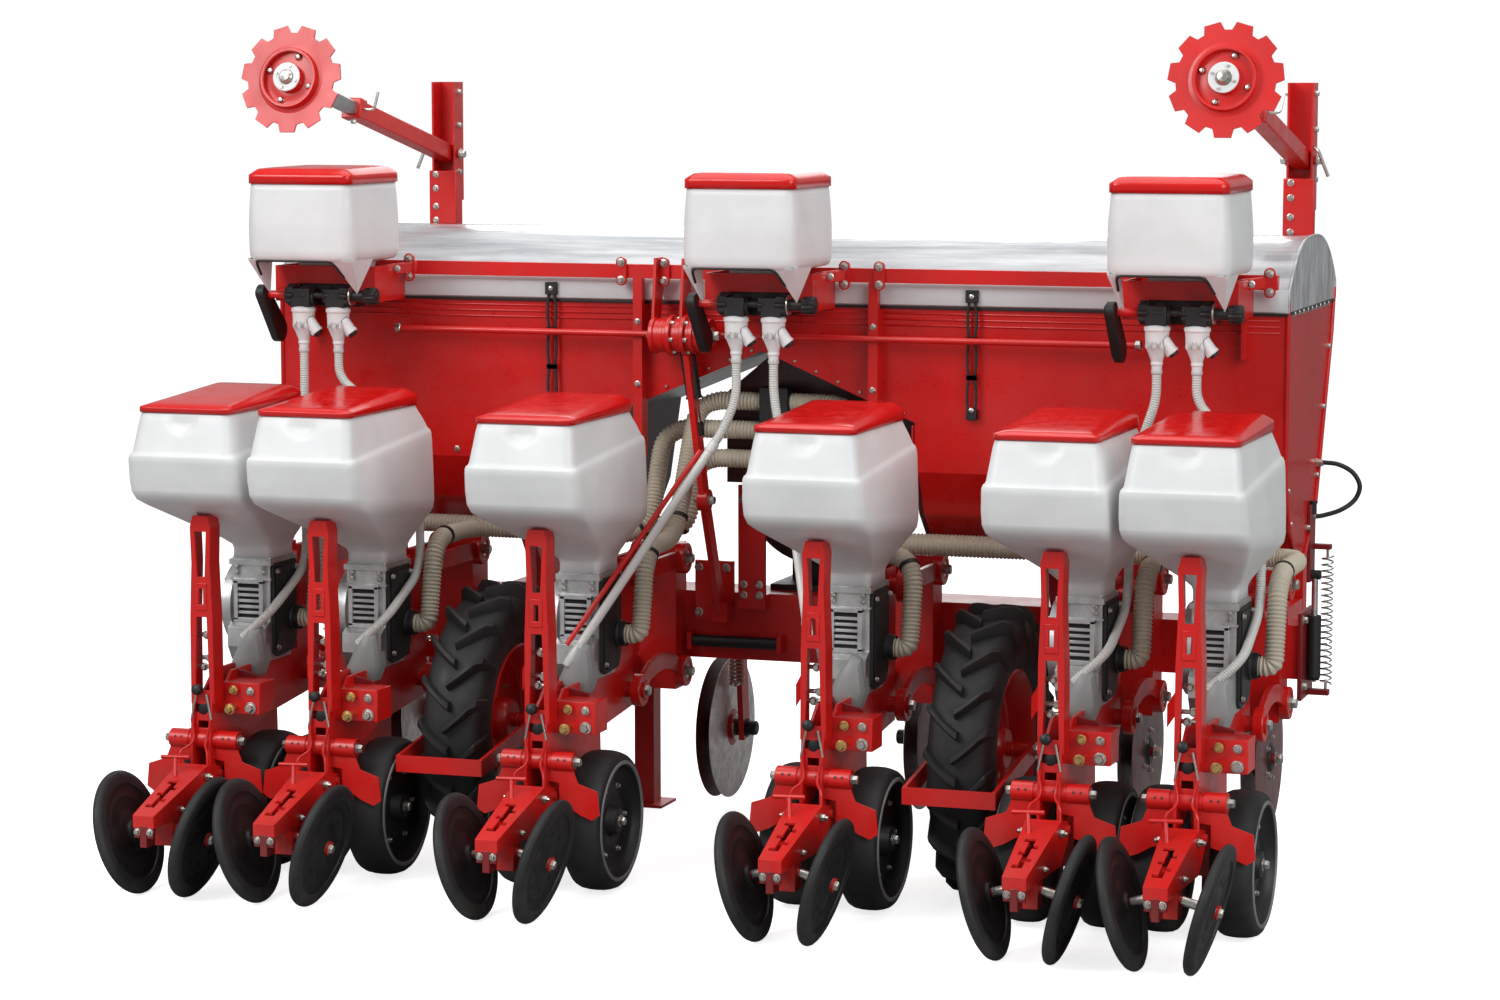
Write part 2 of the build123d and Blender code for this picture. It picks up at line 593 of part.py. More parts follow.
def rail_frame():
    """Rail, posts on the tank's rear wall and a tray round each granule hopper's funnel."""
    frame = block(-RAIL_HALF, RAIL_HALF, RAIL_Y0, RAIL_Y1, RAIL_Z0, RAIL_Z1)
    for x in RAIL_POST_X:
        frame += rail_post(x - RAIL_POST_W / 2, x + RAIL_POST_W / 2, 1100)
    for sign in (-1, 1):
        x0, x1 = sorted((sign * RAIL_HALF, sign * (RAIL_HALF - 12)))
        frame += rail_post(x0, x1, COVER_HEM_Z - 120)
    band_y, band_z = GRANULE_SECTIONS[GRANULE_BAND][3], GRANULE_SECTIONS[GRANULE_BAND + 1][2]
    for x in GRANULE_X:
        frame += block(x - 60, x + 60, band_y, RAIL_Y1, RAIL_Z0, band_z - 20)
        tray = block(x - TRAY_HALF, x + TRAY_HALF, TRAY_Y, RAIL_Y1, TRAY_Z0, TRAY_Z1)
        tray -= block(x - TRAY_HALF + TRAY_T, x + TRAY_HALF - TRAY_T, TRAY_Y + TRAY_T, RAIL_Y1 + 1,
                      TRAY_Z0 - 1, TRAY_Z1 + 1)
        tray -= block(x - CUP_X - 36, x + CUP_X + 36, TRAY_Y - 1, TRAY_Y + TRAY_T + 1, TRAY_Z0 - 1, TRAY_Z0 + 50)
        frame += tray
    return frame + drive_leg()


def drive_leg():
    """Plates and hub under the rail, the cross rod, and the leg down to the hitch frame."""
    y, z = LEG_HUB
    leg = rod((LEG_HUB_X[0], y, z), (LEG_HUB_X[1], y, z), LEG_HUB_R)
    for x in LEG_PLATES_X:
        leg += side_plate([(y - 22, z - 10), (RAIL_Y0 - 30, RAIL_Z1 + 20), (RAIL_Y1, RAIL_Z1 + 20),
                           (RAIL_Y1, RAIL_Z0 - 30), (y + 26, z)], x, x + 8)
    reach = GRANULE_X[2] - 140
    leg += rod((-reach, DRIVE_ROD_Y, z), (reach, DRIVE_ROD_Y, z), DRIVE_ROD_R)
    knee_x, knee_y, knee_z = LEG_KNEE
    leg += bar((knee_x - 30, y, z - 10), LEG_KNEE, 16, 44)
    leg += bar(LEG_KNEE, LEG_FOOT, 16, 44)
    leg += rod((knee_x - 14, knee_y, knee_z), (knee_x + 14, knee_y, knee_z), 30)
    x, foot_y, foot_z = LEG_FOOT
    leg += block(x - 24, x + 24, foot_y - 20, HITCH_PLATE_Y, foot_z - 28, foot_z + 28)
    return leg


def tank_body(wall):
    """The fertilizer tank's outside, or its inside when moved in by the wall."""
    profile = Polygon(*TANK_PROFILE, align=None)
    face = offset(profile, -wall) if wall else profile
    body = extrude(Plane.YZ.offset(-TANK_HALF + wall) * face, amount=2 * (TANK_HALF - wall), dir=(1, 0, 0))
    lift = wall * 1.4
    tunnel = Polygon((-TUNNEL_FOOT_X - wall * 1.2, 800), (TUNNEL_FOOT_X + wall * 1.2, 800),
                     (TUNNEL_KNEE_X + wall, TUNNEL_KNEE_Z + lift), (0, TUNNEL_APEX_Z + lift),
                     (-TUNNEL_KNEE_X - wall, TUNNEL_KNEE_Z + lift), align=None)
    body -= extrude(Plane.XZ.offset(50 - TANK_REAR_Y) * tunnel, amount=TANK_FRONT_Y - TANK_REAR_Y + 100,
                    dir=(0, 1, 0))
    return body


def fertilizer_tank():
    tank = tank_body(0) - tank_body(TANK_WALL)
    mouth = block(-TANK_HALF + TANK_WALL, TANK_HALF - TANK_WALL, TANK_REAR_Y + TANK_WALL,
                  TANK_FRONT_Y - TANK_WALL - 2, TANK_RIM_Z - 2 * TANK_WALL, TANK_RIM_Z + 1)
    panel = Polygon((-174, 1010), (-174, 1262), (-48, 1366), (0, TUNNEL_APEX_Z + 1),
                    (TUNNEL_KNEE_X - 2, TUNNEL_KNEE_Z + 1), (TUNNEL_KNEE_X - 2, 1010), align=None)
    panel = extrude(Plane.XZ.offset(-PANEL_Y) * panel, amount=4, dir=(0, 1, 0))
    panel -= block(-MANIFOLD_HALF - 10, MANIFOLD_HALF + 10, PANEL_Y - 1, PANEL_Y + 5, 1000, 1150)
    return tank - mouth + panel


def hopper_cover():
    """Cover sheet over the tank: an arch with a hem outside the rim."""
    t = COVER_T
    y0, y1, hem = TANK_REAR_Y, TANK_FRONT_Y, COVER_HEM_Z
    rise = COVER_TOP_Z - TANK_RIM_Z
    arch = [(0.0, 0.10), (0.12, 0.62), (0.28, 0.9), (0.5, 1.0), (0.72, 0.9), (0.88, 0.62), (1.0, 0.10)]

    def profile(out):
        points = [(y0 - out, hem)]
        for u, v in arch:
            points.append((y0 - out + u * (y1 - y0 + 2 * out), TANK_RIM_Z + v * rise + (out - t)))
        points.append((y1 + out, hem))
        return points
    shell = side_plate(profile(t), -TANK_HALF - t, TANK_HALF + t)
    inside = profile(0)
    inside[0] = (y0, hem - 20)
    inside[-1] = (y1, hem - 20)
    return shell - side_plate(inside, -TANK_HALF, TANK_HALF)


# Frame
def main_frame():
    """Beam with its sliding ends, hitch, wheel legs, coulter arms, marker and stand brackets."""
    w = BEAM_WALL
    frame = block(-BEAM_HALF, BEAM_HALF, BEAM_Y0, BEAM_Y1, BEAM_Z0, BEAM_Z1)
    s = SLIDE_INSET
    frame += block(-SLIDE_HALF, SLIDE_HALF, BEAM_Y0 + s, BEAM_Y1 - s, BEAM_Z0 + s, BEAM_Z1 - s)
    s += w
    frame -= block(-SLIDE_HALF - 1, SLIDE_HALF + 1, BEAM_Y0 + s, BEAM_Y1 - s, BEAM_Z0 + s, BEAM_Z1 - s)
    for side in (-1, 1):
        frame += wheel_leg(side)
        frame += marker_bracket(side)
        frame += stand_bracket(side)
        frame += lower_hitch(side)
        frame += tank_bracket(side)
        x0, x1 = sorted((side * 60, side * 74))
        plate = side_plate([(BEAM_Y1 - 1, BEAM_Z0), (BEAM_Y1 - 1, BEAM_Z1), (FAN_Y1 + 20, BEAM_Z1),
                            (HITCH_TOP_Y - 70, HITCH_TOP_Z + 45), (HITCH_TOP_Y + 40, HITCH_TOP_Z + 45),
                            (HITCH_TOP_Y + 40, HITCH_TOP_Z - 45), (HITCH_TOP_Y - 70, BEAM_Z0 + 140),
                            (HITCH_TOP_Y - 160, BEAM_Z0)], x0, x1)
        frame += plate
    frame -= rod((-90, HITCH_TOP_Y, HITCH_TOP_Z), (90, HITCH_TOP_Y, HITCH_TOP_Z), HITCH_TOP_R)
    frame += block(-61, 61, HITCH_TOP_Y - 130, HITCH_TOP_Y - 110, BEAM_Z0 + 40, BEAM_Z0 + 160)
    frame += block(-289, -176, HITCH_PLATE_Y, BEAM_Y0 + 1, BEAM_Z0 + 110, 779)
    frame += block(-152, -73, HITCH_PLATE_Y - 26, HITCH_PLATE_Y - 14, 650, 1000)
    frame += block(-152, -73, HITCH_PLATE_Y - 15, BEAM_Y0 + 1, 650, BEAM_Z1)
    frame += rod((-300, HITCH_PLATE_Y - 8, 552), (-33, HITCH_PLATE_Y - 8, 552), 15)
    for x in (-304, -37):
        frame += block(x, x + 12, HITCH_PLATE_Y - 30, BEAM_Y0 + 1, 528, 576)
    for row in ROWS:
        frame += coulter_arm(row)
    return frame


def wheel_leg(side):
    """Leg, axle and mud scraper of a drive wheel."""
    inner = DRIVE_X - DRIVE_W / 2 - DRIVE_SIDE_GAP
    outer = DRIVE_X + DRIVE_W / 2 + DRIVE_SIDE_GAP
    leg = side_plate([(BEAM_Y0 + 1, BEAM_Z1 - 20), (BEAM_Y0 + 1, BEAM_Z0 + 20), (DRIVE_Y + 60, DRIVE_R - 45),
                      (DRIVE_Y - 45, DRIVE_R - 45), (DRIVE_Y - 45, DRIVE_R + 45), (DRIVE_Y + 60, DRIVE_R + 60)],
                     inner - 18, inner)
    leg += rod((inner - 10, DRIVE_Y, DRIVE_R), (outer + 10, DRIVE_Y, DRIVE_R), DRIVE_AXLE_R)
    back = DRIVE_Y - DRIVE_R - 22
    for x0, x1 in ((inner - 10, inner), (outer, outer + 10)):
        leg += bar(((x0 + x1) / 2, back, DRIVE_R - 60), ((x0 + x1) / 2, DRIVE_Y, DRIVE_R), x1 - x0, 46)
    leg += block(inner - 10, outer + 10, back - 10, back, DRIVE_R - 82, DRIVE_R - 38)
    return leg if side > 0 else mirror(leg, Plane.YZ)


def coulter_x(row):
    return row - math.copysign(COULTER_OFFSET, row)


def coulter_arm(row):
    """Trailing arm of a fertilizer coulter, with its axle."""
    side = math.copysign(1, row)
    x = coulter_x(row)
    arm_x = x - side * 38
    arm = bar((arm_x, BEAM_Y1 - SLIDE_INSET - 1, BEAM_Z0 + 60), (arm_x, COULTER_Y - 40, BEAM_Z0 + 40), 16, 70)
    arm += bar((arm_x, COULTER_Y - 40, BEAM_Z0 + 60), (arm_x, COULTER_Y, COULTER_Z - 30), 16, 56)
    arm += rod((arm_x - side * 7, COULTER_Y, COULTER_Z), (x + side * (COULTER_PAIR + 18), COULTER_Y, COULTER_Z),
               COULTER_AXLE_R)
    return arm


def coulter_disc(row):
    """Steel disc and its depth disc on one hub, turning on the arm's axle."""
    bore, hub, t, r = COULTER_AXLE_R + RUN_GAP, COULTER_HUB_R, COULTER_T / 2, COULTER_R
    gap = COULTER_PAIR
    profile = [(24, bore), (24, hub), (t, hub + 20), (t, r - 14), (0.6, r), (-0.6, r), (-t, r - 14), (-t, hub + 6),
               (-gap + t, hub + 6), (-gap + t, r - 14), (-gap + 0.6, r), (-gap - 0.6, r), (-gap - t, r - 14),
               (-gap - t, hub + 6), (-gap - 10, hub), (-gap - 10, bore)]
    side = math.copysign(1, row)
    return Pos(coulter_x(row), COULTER_Y, COULTER_Z) * turned([(-side * x, radius) for x, radius in profile])


def marker_bracket(side):
    """Arm from the sliding bar to the marker's tilt pin."""
    x = side * MARKER_X
    y1 = MARKER_Y - MARKER_POST_W / 2 - 6
    bracket = block(x - 30, x + 30, BEAM_Y1 - SLIDE_INSET - 1, y1, MARKER_PIVOT_Z - 30, MARKER_PIVOT_Z + 26)
    bracket += rod((x, y1 - 1, MARKER_PIVOT_Z), (x, MARKER_Y + MARKER_POST_W / 2 + 14, MARKER_PIVOT_Z), MARKER_PIN_R)
    bracket += rod((x, MARKER_Y + MARKER_POST_W / 2 + 6, MARKER_PIVOT_Z),
                   (x, MARKER_Y + MARKER_POST_W / 2 + 14, MARKER_PIVOT_Z), MARKER_PIN_R + 8)
    return bracket


def marker_mast(side):
    """Upright that tilts outwards; its channel top holds the folding arm."""
    h = MARKER_POST_W / 2
    x, y = side * MARKER_X, MARKER_Y
    cheek = MARKER_ARM_W / 2 + 6
    post = block(x - h, x + h, y - h, y + h, MARKER_PIVOT_Z - 40, MARKER_POST_TOP - 55)
    post -= rod((x, y - h - 1, MARKER_PIVOT_Z), (x, y + h + 1, MARKER_PIVOT_Z), MARKER_PIN_R + RUN_GAP)
    for sign in (-1, 1):
        x0, x1 = sorted((x + sign * cheek, x + sign * (cheek + 6)))
        post += block(x0, x1, y - h, y + h + 8, MARKER_POST_TOP - 140, MARKER_POST_TOP + 216)
    post += block(x - cheek - 1, x + cheek + 1, y + h + 2, y + h + 8, MARKER_POST_TOP - 140, MARKER_POST_TOP + 216)
    post += block(x - cheek - 1, x + cheek + 1, y - h, y + h + 3, MARKER_POST_TOP - 140, MARKER_POST_TOP - 56)
    post += rod((x - cheek - 12, y, MARKER_POST_TOP), (x + cheek + 12, y, MARKER_POST_TOP), MARKER_PIN_R)
    return post


MARKER_ARM_LENGTH = math.hypot(MARKER_ARM_REACH, MARKER_ARM_RISE)
MARKER_WAY = (0.0, -MARKER_ARM_REACH / MARKER_ARM_LENGTH, MARKER_ARM_RISE / MARKER_ARM_LENGTH)


def along_marker(side, distance):
    return (side * MARKER_X, MARKER_Y + MARKER_WAY[1] * distance, MARKER_POST_TOP + MARKER_WAY[2] * distance)


def marker_arm(side):
    """Arm that folds back over the machine, with the disc's axle at its end."""
    w, length = MARKER_ARM_W, MARKER_ARM_LENGTH
    x = side * MARKER_X
    arm = bar(along_marker(side, 0), along_marker(side, length * 0.62), w, w)
    arm += bar(along_marker(side, length * 0.6), along_marker(side, length - 30), w - 14, w - 14)
    arm += rod((x - w / 2, MARKER_Y, MARKER_POST_TOP), (x + w / 2, MARKER_Y, MARKER_POST_TOP), w / 2)
    arm += rod(along_marker(side, length - 31), along_marker(side, length + 40), MARKER_PIN_R)
    arm += rod(along_marker(side, length + 33), along_marker(side, length + 40), MARKER_PIN_R + 8)
    arm -= rod((x - w, MARKER_Y, MARKER_POST_TOP), (x + w, MARKER_Y, MARKER_POST_TOP), MARKER_PIN_R + RUN_GAP)
    return arm


def marker_disc(side):
    """Toothed disc with a drum ring on its rear face."""
    points = []
    for k in range(MARKER_TEETH):
        for part, radius in ((0.0, 1.0), (0.5, 1.0), (0.62, 0.86), (0.88, 0.86)):
            a = 2 * math.pi * (k + part) / MARKER_TEETH
            points.append((MARKER_DISC_R * radius * math.cos(a), MARKER_DISC_R * radius * math.sin(a)))
    plane = Plane(origin=along_marker(side, MARKER_ARM_LENGTH), x_dir=(1, 0, 0), z_dir=MARKER_WAY)
    disc = extrude(plane * Polygon(*points, align=None), amount=6, dir=MARKER_WAY)
    disc += extrude(plane * Circle(MARKER_DRUM_R), amount=26, dir=MARKER_WAY)
    disc -= extrude(plane.offset(8) * Circle(MARKER_DRUM_R - 8), amount=30, dir=MARKER_WAY)
    disc += extrude(plane.offset(-10) * Circle(30), amount=42, dir=MARKER_WAY)
    disc -= extrude(plane.offset(-40) * Circle(MARKER_PIN_R + RUN_GAP), amount=100, dir=MARKER_WAY)
    return disc


def stand_bracket(side):
    """Two cheeks on the beam with the parking stand's pin."""
    x = side * STAND_X
    h = STAND_W / 2 + 3
    cheeks = rod((x - h - 14, STAND_Y, STAND_PIVOT_Z), (x + h + 14, STAND_Y, STAND_PIVOT_Z), STAND_PIN_R)
    for sign in (-1, 1):
        x0, x1 = sorted((x + sign * h, x + sign * (h + 10)))
        cheeks += side_plate([(BEAM_Y1 - 1, BEAM_Z0 + 10), (BEAM_Y1 - 1, BEAM_Z1 - 60), (STAND_Y + 45, STAND_PIVOT_Z + 60),
                              (STAND_Y + 45, STAND_PIVOT_Z - 35), (STAND_Y - 45, STAND_PIVOT_Z - 35)], x0, x1)
    return cheeks


def parking_stand(side):
    """Leg with a foot plate; it swings forwards and up."""
    x, h = side * STAND_X, STAND_W / 2
    leg = block(x - h, x + h, STAND_Y - h, STAND_Y + h, 6, STAND_PIVOT_Z + h)
    leg += block(x - STAND_FOOT / 2, x + STAND_FOOT / 2, STAND_Y - STAND_FOOT / 2, STAND_Y + STAND_FOOT / 2, 0, 8)
    leg -= rod((x - h - 1, STAND_Y, STAND_PIVOT_Z), (x + h + 1, STAND_Y, STAND_PIVOT_Z), STAND_PIN_R + RUN_GAP)
    return leg


def lower_hitch(side):
    """Plate with a lower link pin."""
    pin_mid = HITCH_PIN_SPAN / 2
    x1 = pin_mid - HITCH_PIN_LENGTH / 2
    x0 = x1 - 14
    plate = side_plate([(BEAM_Y1 - 1, BEAM_Z0 + 5), (BEAM_Y1 - 1, BEAM_Z1 - 40), (HITCH_PIN_Y + 38, HITCH_PIN_Z + 38),
                        (HITCH_PIN_Y + 38, HITCH_PIN_Z - 38), (HITCH_PIN_Y - 38, HITCH_PIN_Z - 50)], x0, x1)
    plate += rod((x0 + 1, HITCH_PIN_Y, HITCH_PIN_Z), (x1 + HITCH_PIN_LENGTH, HITCH_PIN_Y, HITCH_PIN_Z), HITCH_PIN_R)
    return plate if side > 0 else mirror(plate, Plane.YZ)


def tank_bracket(side):
    """Plate between the beam and the tank's bottom, shaped to its slope."""
    (y0, z0), (y1, z1), (y2, z2) = TANK_PROFILE[3:6]
    top_y = BEAM_Y1 - 10
    top_z = z1 + (top_y - y1) * (z2 - z1) / (y2 - y1)
    x = BEAM_HALF - 100
    plate = side_plate([(BEAM_Y0, BEAM_Z1 - 1), (top_y, BEAM_Z1 - 1), (top_y, top_z), (y1, z1), (y0 + 5, z0),
                        (y0 + 5, z0 - 30)], x - 20, x + 20)
    return plate if side > 0 else mirror(plate, Plane.YZ)


# Air and seed lines
def fan():
    """Vacuum fan on the beam, with its input shaft, and the duct back to the hose manifold."""
    body = rod((0, FAN_Y0, FAN_Z), (0, FAN_Y1, FAN_Z), FAN_R)
    body += rod((0, FAN_Y1 - 1, FAN_Z), (0, FAN_Y1 + 14, FAN_Z), FAN_R - 40)
    body += rod((0, FAN_Y1, FAN_Z), (0, FAN_Y1 + 110, FAN_Z), PTO_R)
    body += block(-100, 100, BEAM_Y1 - 80, FAN_Y1 - 20, BEAM_Z1, BEAM_Z1 + 16)
    body += block(-70, 70, FAN_Y0 + 10, FAN_Y1 - 20, BEAM_Z1 + 10, FAN_Z - FAN_R + 30)
    low, high = HOSE_RUNS[-1][0] - HOSE_R - 20, HOSE_RUNS[0][0] + HOSE_R + 14
    body += block(-MANIFOLD_HALF, MANIFOLD_HALF, MANIFOLD_Y - 34, MANIFOLD_Y + 34, low, high)
    body += block(-MANIFOLD_HALF, MANIFOLD_HALF, MANIFOLD_Y + 33, FAN_Y0 + 1, FAN_Z + 100, FAN_Z + 180)
    return body


def vacuum_hose(row):
    """Hose from the manifold, down between the bins, along the machine and round into the meter's side."""
    side = math.copysign(1, row)
    order = sorted(abs(r) for r in ROWS if r * row > 0).index(abs(row))
    z, turn, y = HOSE_RUNS[order]
    down = row + HOSE_SIDE
    points = [(side * MANIFOLD_HALF, MANIFOLD_Y, z), (side * turn, MANIFOLD_Y, z), (side * turn, y, HOSE_LOW_Z)]
    if order:
        points.append((down, y, HOSE_LOW_Z))
    points += [(down, HOSE_PORT_Y + 50, HOSE_LOW_Z), (down, HOSE_PORT_Y, HOSE_PORT_Z),
               (row + METER_HALF, HOSE_PORT_Y, HOSE_PORT_Z)]
    start = Plane(origin=points[0], z_dir=(side, 0, 0))
    return sweep(start * Circle(HOSE_R), path=FilletPolyline(*points, radius=HOSE_BEND))


def seed_tube(row, cup):
    """Clear tube from a granule cup to the chute below the row's meter."""
    points = [(cup, CUP_Y, CUP_OUTLET_Z)]
    if row == -ROW_INNER:
        points += [(cup, CUP_Y, 1270), (-25, 455, 1198), (row - 1, 240, 601)]
    elif row == ROW_INNER:
        points += [(cup, CUP_Y, 1300), (150, 460, 1120), (row - 88, 250, 659)]
    else:
        x = row + TUBE_SIDE
        points += [(cup, CUP_Y, CUP_OUTLET_Z - 70), (x, TUBE_DOWN_Y, 1120), (x, TUBE_DOWN_Y, 790), (x, 251, 690),
                   (row - 12, 251, 604)]
    way = Vector(*points[1]) - Vector(*points[0])
    start = Plane(origin=points[0], z_dir=way.normalized())
    return sweep(start * Circle(SEED_TUBE_R), path=FilletPolyline(*points, radius=40))


def cup_rows():
    """Each row with the granule cup that feeds it."""
    pairs = []
    for k, row in enumerate(ROWS):
        hopper = GRANULE_X[k // 2]
        pairs.append((row, hopper + (-CUP_X if k % 2 == 0 else CUP_X)))
    return pairs


def at_rows(shape):
    return [Pos(row, 0, 0) * shape for row in ROWS]


on_beam = unit_frame(BEAM_Y0)
on_slide = unit_frame(BEAM_Y0 + SLIDE_INSET)
seed_cap, granule_cap = seed_lid(), granule_lid()
gauge_pair, drive = gauge_wheel_pair(), drive_wheel()
press = {side: press_wheel(side) for side in (-1, 1)}
SIDES = ((-1, "left"), (1, "right"))
NODES = {
    "main_frame": [main_frame()],
    "rail_frame": [rail_frame()],
    "fertilizer_tank": [fertilizer_tank()],
    "tank_cover": [hopper_cover()],
    "unit_frames": [Pos(row, 0, 0) * (on_beam if abs(row) < BEAM_HALF else on_slide) for row in ROWS],
    "closing_arms": at_rows(closing_arm()),
    "seed_hoppers": at_rows(seed_hopper()),
    "seed_meters": at_rows(seed_meter()),
    "granule_hoppers": [Pos(x, 0, 0) * shape for shape in [granule_hopper()] for x in GRANULE_X],
    "granule_drives": [granule_drive(x) for x in GRANULE_X],
    "granule_cups": [Pos(cup, 0, 0) * shape for shape in [granule_cup()] for _, cup in cup_rows()],
    "vacuum_fan": [fan()],
    "vacuum_hoses": [vacuum_hose(row) for row in ROWS],
    "seed_tubes": [seed_tube(row, cup) for row, cup in cup_rows()],
}
PIVOTS = {}
for k, row in enumerate(ROWS, 1):
    NODES[f"gauge_wheels_{k}"] = [Pos(row, GAUGE_Y, GAUGE_R) * gauge_pair]
    PIVOTS[f"gauge_wheels_{k}"] = (row, GAUGE_Y, GAUGE_R)
    for side, word in SIDES:
        NODES[f"press_wheel_{k}_{word}"] = [Pos(*press_centre(row, side)) * press[side]]
        PIVOTS[f"press_wheel_{k}_{word}"] = press_centre(row, side)
    NODES[f"seed_lid_{k}"] = [Pos(row, 0, 0) * seed_cap]
    PIVOTS[f"seed_lid_{k}"] = (row, HOPPER_SECTIONS[-1][3] + HINGE_OUT, RIM_Z - HINGE_DROP)
    NODES[f"coulter_disc_{k}"] = [coulter_disc(row)]
    PIVOTS[f"coulter_disc_{k}"] = (coulter_x(row), COULTER_Y, COULTER_Z)
for k, x in enumerate(GRANULE_X, 1):
    NODES[f"granule_lid_{k}"] = [Pos(x, 0, 0) * granule_cap]
    PIVOTS[f"granule_lid_{k}"] = (x, GRANULE_SECTIONS[-1][3] + HINGE_OUT, GRANULE_RIM_Z - HINGE_DROP)
for side, word in SIDES:
    NODES[f"drive_wheel_{word}"] = [Pos(side * DRIVE_X, DRIVE_Y, DRIVE_R) * drive]
    PIVOTS[f"drive_wheel_{word}"] = (side * DRIVE_X, DRIVE_Y, DRIVE_R)
    NODES[f"marker_mast_{word}"] = [marker_mast(side)]
    PIVOTS[f"marker_mast_{word}"] = (side * MARKER_X, MARKER_Y, MARKER_PIVOT_Z)
    NODES[f"marker_arm_{word}"] = [marker_arm(side)]
    PIVOTS[f"marker_arm_{word}"] = (side * MARKER_X, MARKER_Y, MARKER_POST_TOP)
    NODES[f"marker_disc_{word}"] = [marker_disc(side)]
    PIVOTS[f"marker_disc_{word}"] = along_marker(side, MARKER_ARM_LENGTH)
    NODES[f"parking_stand_{word}"] = [parking_stand(side)]
    PIVOTS[f"parking_stand_{word}"] = (side * STAND_X, STAND_Y, STAND_PIVOT_Z)

boxes = [solid.bounding_box() for solids in NODES.values() for solid in solids]
SHIFT = Vector(-(min(b.min.X for b in boxes) + max(b.max.X for b in boxes)) / 2,
               -(min(b.min.Y for b in boxes) + max(b.max.Y for b in boxes)) / 2,
               -min(b.min.Z for b in boxes))

if __name__ == "__main__":
    os.makedirs("parts", exist_ok=True)
    for name, shapes in NODES.items():
        solids = [solid for shape in shapes for solid in shape.solids()]
        placed = Pos(SHIFT) * Compound(children=solids) if len(solids) > 1 else Pos(SHIFT) * solids[0]
        export_step(placed, f"parts/{name}.step")
        print(name, len(solids), len(shapes), all(solid.is_valid for solid in solids))
    print("shift", SHIFT)
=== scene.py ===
"""Looks of the six-row precision seeder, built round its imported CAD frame."""

import json
import math

import bpy
from mathutils import Matrix, Vector, noise


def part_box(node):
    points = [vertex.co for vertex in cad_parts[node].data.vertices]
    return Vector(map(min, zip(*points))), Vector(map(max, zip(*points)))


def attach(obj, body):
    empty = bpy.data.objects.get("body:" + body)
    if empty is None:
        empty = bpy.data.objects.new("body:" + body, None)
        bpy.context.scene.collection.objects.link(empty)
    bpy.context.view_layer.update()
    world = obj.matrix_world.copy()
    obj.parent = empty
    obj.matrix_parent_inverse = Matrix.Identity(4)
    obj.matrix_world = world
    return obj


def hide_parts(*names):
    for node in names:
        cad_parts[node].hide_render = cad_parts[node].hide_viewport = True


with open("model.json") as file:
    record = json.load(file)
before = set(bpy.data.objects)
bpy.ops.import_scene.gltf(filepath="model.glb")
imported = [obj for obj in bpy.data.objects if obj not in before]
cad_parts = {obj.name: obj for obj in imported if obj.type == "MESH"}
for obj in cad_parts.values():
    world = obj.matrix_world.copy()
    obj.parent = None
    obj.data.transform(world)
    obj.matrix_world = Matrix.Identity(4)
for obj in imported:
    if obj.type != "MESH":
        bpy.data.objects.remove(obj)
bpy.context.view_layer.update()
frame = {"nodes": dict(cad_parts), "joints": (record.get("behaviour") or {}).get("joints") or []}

# Machine coordinates are millimetres: x to the right, y forwards from the masts' rear face, z up
DRIVE_WHEEL_Y = 520.0
HINGE_OUT = 30.0


def joint_of(body):
    return next(joint for joint in frame["joints"] if joint["child"] == body)


Y_ZERO = joint_of("drive_wheel_left")["pos_m"][1] - DRIVE_WHEEL_Y / 1000


def middle_x(node):
    low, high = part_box(node)
    return (low.x + high.x) * 500


ROWS = [middle_x(f"gauge_wheels_{k}") for k in range(1, 7)]
GRANULE_X = [middle_x(f"granule_lid_{k}") for k in (1, 2, 3)]


def place(x, y, z):
    """A machine point in Blender's metres."""
    return Vector((x / 1000, y / 1000 + Y_ZERO, z / 1000))


